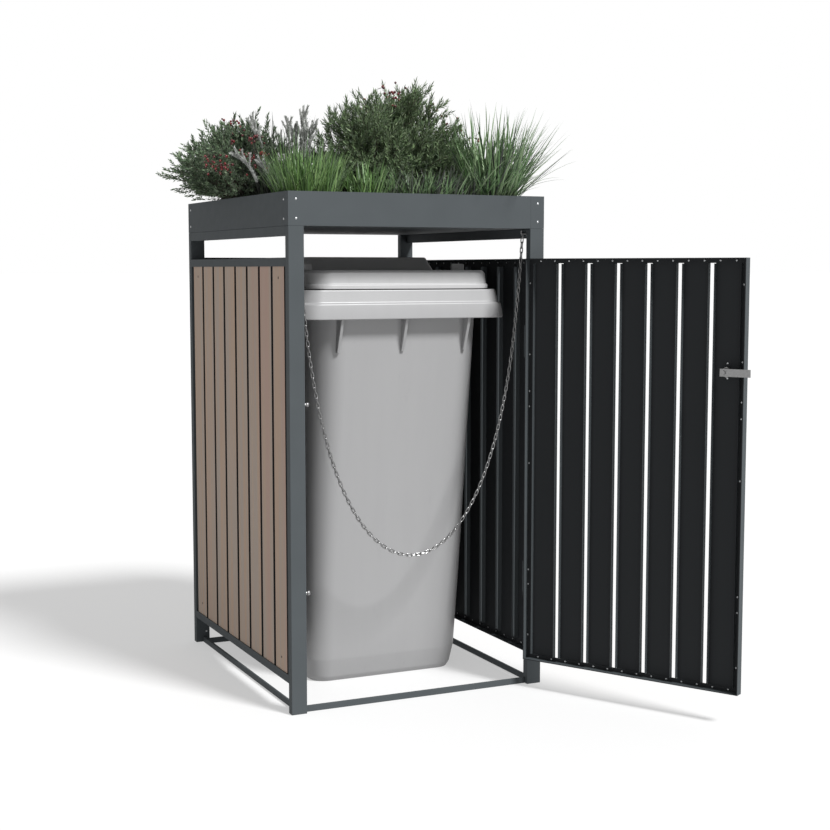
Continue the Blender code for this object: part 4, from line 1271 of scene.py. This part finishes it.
class BINSTORE_OT_grasses(bpy.types.Operator):
    """Long grass fanning out at the right and short bright grass at the front"""

    bl_idname = "binstore.grasses"
    bl_label = "Grasses"

    def execute(self, context):
        settings = context.scene.bin_store_plants
        rng = np.random.default_rng(settings.seed + 1)
        bright, long = leaf_tints("bright blade", BRIGHT, 0.45), leaf_tints("long blade", LONG, 0.45)
        # the dark tints are painted shade for the shaded clumps
        dark = leaf_tints("dark blade", DARK, 0.5)
        for name, wide, tints, node, clumps in (
            ("grass_right", 1.15, long, "grass_right", FAN),
            ("grass_front", 0.85, bright, "grass_middle", LAWN),
            ("grass_low", 0.9, long, None, UNDERGROWTH),
            ("grass_dark", 1.1, dark, None, SHADED),
        ):
            self.tuft(rng, name, clumps, settings.blade * wide, tints, node)
        return {"FINISHED"}

    def tuft(self, rng, name, clumps, width, tints, node):
        """Several clumps of blades as one piece."""
        verts, faces = together(*[self.fan(rng, *clump, width) for clump in clumps])
        ob = piece(name + "_blades", over_rim(verts), faces, tints, smooth=False)
        self.tint(rng, ob)
        if node:
            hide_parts(node)

    def fan(self, rng, count, middle, spread, long, lean, bend, width):
        """Blades rooted over an ellipse, leaning more the longer the draw, headed every way."""
        a, r = rng.uniform(0, 2 * np.pi, count), np.sqrt(rng.random(count))
        x, y = middle[0] + spread[0] * r * np.cos(a), middle[1] + spread[1] * r * np.sin(a)
        root = penned(np.stack([x, y, np.full(count, SOIL - BLADE_SUNK)], -1), BLADE_MARGIN)
        heading = a + rng.normal(0, 0.7, count)
        draw = rng.random(count) ** 0.8
        leans = lean[0] + (lean[1] - lean[0]) * draw * rng.uniform(0.3, 1, count)
        bends, lengths = bend * rng.uniform(0.1, 1.0, count), rng.uniform(*long, count)
        return blades(root, heading, leans, bends, lengths, width * rng.uniform(0.6, 1.1, count))

    def tint(self, rng, ob):
        """One tint for each loose blade, told apart by its run of vertices."""
        mesh = ob.data
        starts = np.empty(len(mesh.polygons), np.int32)
        mesh.polygons.foreach_get("loop_start", starts)
        first = np.empty(len(mesh.loops), np.int32)
        mesh.loops.foreach_get("vertex_index", first)
        blade = first[starts] // BLADE_POINTS
        picks = rng.choice(len(BLADE_MIX), blade.max() + 1, p=np.array(BLADE_MIX) / sum(BLADE_MIX))
        mesh.polygons.foreach_set("material_index", picks[blade].astype(np.int32))


# middle, spread and number of each bunch of berries
BUNCHES = (
    ((-0.430, 0.30, 1.330), 0.030, 26),
    ((-0.395, 0.28, 1.315), 0.020, 12),
    ((-0.355, 0.26, 1.395), 0.036, 30),
    ((-0.330, 0.24, 1.345), 0.036, 26),
    ((-0.330, 0.45, 1.440), 0.030, 12),
    ((0.060, 0.28, 1.520), 0.022, 16),
    ((0.075, 0.30, 1.545), 0.018, 6),
    ((0.010, 0.40, 1.500), 0.030, 8),
    ((0.235, 0.30, 1.440), 0.034, 18),
    ((0.200, 0.33, 1.500), 0.030, 8),
    ((0.330, 0.28, 1.400), 0.034, 14),
    ((0.100, 0.52, 1.470), 0.040, 14),
    ((-0.300, 0.60, 1.400), 0.040, 16),
)
SPIKE_FOOT, SPIKE_MIX = (-0.215, 0.27, SOIL), (3, 2, 2)
SPIKES = (  # tips
    (-0.197, 0.26, 1.462),
    (-0.236, 0.27, 1.440),
    (-0.168, 0.27, 1.425),
    (-0.205, 0.22, 1.410),
    (-0.182, 0.30, 1.438),
    (-0.205, 0.30, 1.425),
    (-0.320, 0.30, 1.435),
    (-0.385, 0.22, 1.345),
    (-0.340, 0.18, 1.325),
    (-0.290, 0.16, 1.330),
    (-0.160, 0.55, 1.430),
    (-0.250, 0.62, 1.440),
)


class BINSTORE_OT_accents(bpy.types.Operator):
    """Red berries and silver spikes"""

    bl_idname = "binstore.accents"
    bl_label = "Berries and spikes"

    def execute(self, context):
        settings = context.scene.bin_store_plants
        rng = np.random.default_rng(settings.seed + 2)
        self.berries(rng)
        self.spikes(rng)
        return {"FINISHED"}

    def berries(self, rng):
        """Small balls in loose bunches, each on a stalk from the nearest leaf tip."""
        spots = np.vstack([np.array(c) + rng.normal(0, s * 0.5, (n, 3)) for c, s, n in BUNCHES])
        near = self.nearest(spots)
        away = spots - near
        far = np.linalg.norm(away, axis=1, keepdims=True)
        spots = near + away * np.minimum(1, BERRY_STALK / np.maximum(far, 1e-6))
        lines = near[:, None] + (spots - near)[:, None] * np.linspace(0, 1, 4)[:, None]
        stalks = piece("berry_stalks", *tubes(lines, 0.0005, 3), [plant_stem("berry")])
        t = np.linspace(0, np.pi, 6)
        ball = spun([(math.sin(a), -math.cos(a)) for a in t], 8)
        shape = repeat(ball, spots, sizes=rng.uniform(0.0024, 0.0040, len(spots)))
        skins = [Finish(f"berry skin {i}", Base_Color=c, Roughness=0.3) for i, c in enumerate(BERRY)]
        tints = self.by_copy(rng, shape, len(ball[0]))
        piece("berries", *shape, [skin.material for skin in skins], tints)

    def nearest(self, spots):
        """The shrub leaf's tip closest to each spot."""
        clouds = []
        for ob in bpy.data.objects:
            if ob.name.startswith("shrub_") and ob.name.endswith("_leaves"):
                co = np.empty(3 * len(ob.data.vertices), np.float32)
                ob.data.vertices.foreach_get("co", co)
                tips = co.reshape(-1, 3)[NEEDLE_POINTS - 1 :: NEEDLE_POINTS]
                clouds.append(tips.astype(float))
        cloud = np.vstack(clouds)
        return np.array([cloud[np.argmin(((cloud - spot) ** 2).sum(1))] for spot in spots])

    def by_copy(self, rng, shape, size):
        """A tint for each copy of a small shape."""
        owner = np.concatenate([g[:, 0] // size for g in shape[1]])
        return rng.integers(0, 2, owner.max() + 1)[owner]

    def spikes(self, rng):
        """Woolly silver spikes: short scales close round upright stems."""
        lines = stems(rng, np.array(SPIKES), SPIKE_FOOT, gather=0.55, lift=0.30)
        side = sprigs(rng, lines, per=8, first=0.60, long=0.040, open_=0.55)
        scales = leafy(rng, lines, per=260, first=0.30, long=0.0090, wide=0.0036, spread=0.85, ends=0.45)
        small = leafy(rng, side, per=46, first=0.0, long=0.0075, wide=0.0034, spread=0.75, ends=0.3)
        verts, faces = together(scales, small)
        skins = leaf_tints("silver scale", SILVERY, 0.8)
        tint = tint_draw(rng, faces, SPIKE_MIX)
        piece("silver_spikes", over_rim(verts), faces, skins, tint, smooth=False)


# ---- panel and registration
OPERATORS = (
    BINSTORE_OT_stage,
    BINSTORE_OT_chain,
    BINSTORE_OT_steel,
    BINSTORE_OT_boards,
    BINSTORE_OT_metal,
    BINSTORE_OT_bin,
    BINSTORE_OT_fixings,
    BINSTORE_OT_soil,
    BINSTORE_OT_shrubs,
    BINSTORE_OT_grasses,
    BINSTORE_OT_accents,
)
SETTINGS = {
    "bin_store_stage": StageSettings,
    "bin_store_chain": ChainSettings,
    "bin_store_fixings": FixingSettings,
    "bin_store_finish": FinishSettings,
    "bin_store_plants": PlantSettings,
}


class BINSTORE_PT_panel(bpy.types.Panel):
    """Lists the store's pieces and their settings"""

    bl_idname = "BINSTORE_PT_panel"
    bl_label = "Planted bin store"
    bl_space_type = "VIEW_3D"
    bl_region_type = "UI"
    bl_category = "Bin store"

    def draw(self, context):
        for name, group in SETTINGS.items():
            box = self.layout.box()
            for field in group.__annotations__:
                box.prop(getattr(context.scene, name), field)
        for operator in OPERATORS:
            self.layout.operator(operator.bl_idname)


def register():
    for cls in (*SETTINGS.values(), *OPERATORS, BINSTORE_PT_panel):
        bpy.utils.register_class(cls)
    for name, group in SETTINGS.items():
        setattr(bpy.types.Scene, name, PointerProperty(type=group))


def unregister():
    for name in SETTINGS:
        delattr(bpy.types.Scene, name)
    for cls in reversed((*SETTINGS.values(), *OPERATORS, BINSTORE_PT_panel)):
        bpy.utils.unregister_class(cls)


def main():
    """Makes every piece."""
    register()
    for operator in OPERATORS:
        group, name = operator.bl_idname.split(".")
        getattr(getattr(bpy.ops, group), name)()


if __name__ == "__main__":
    main()
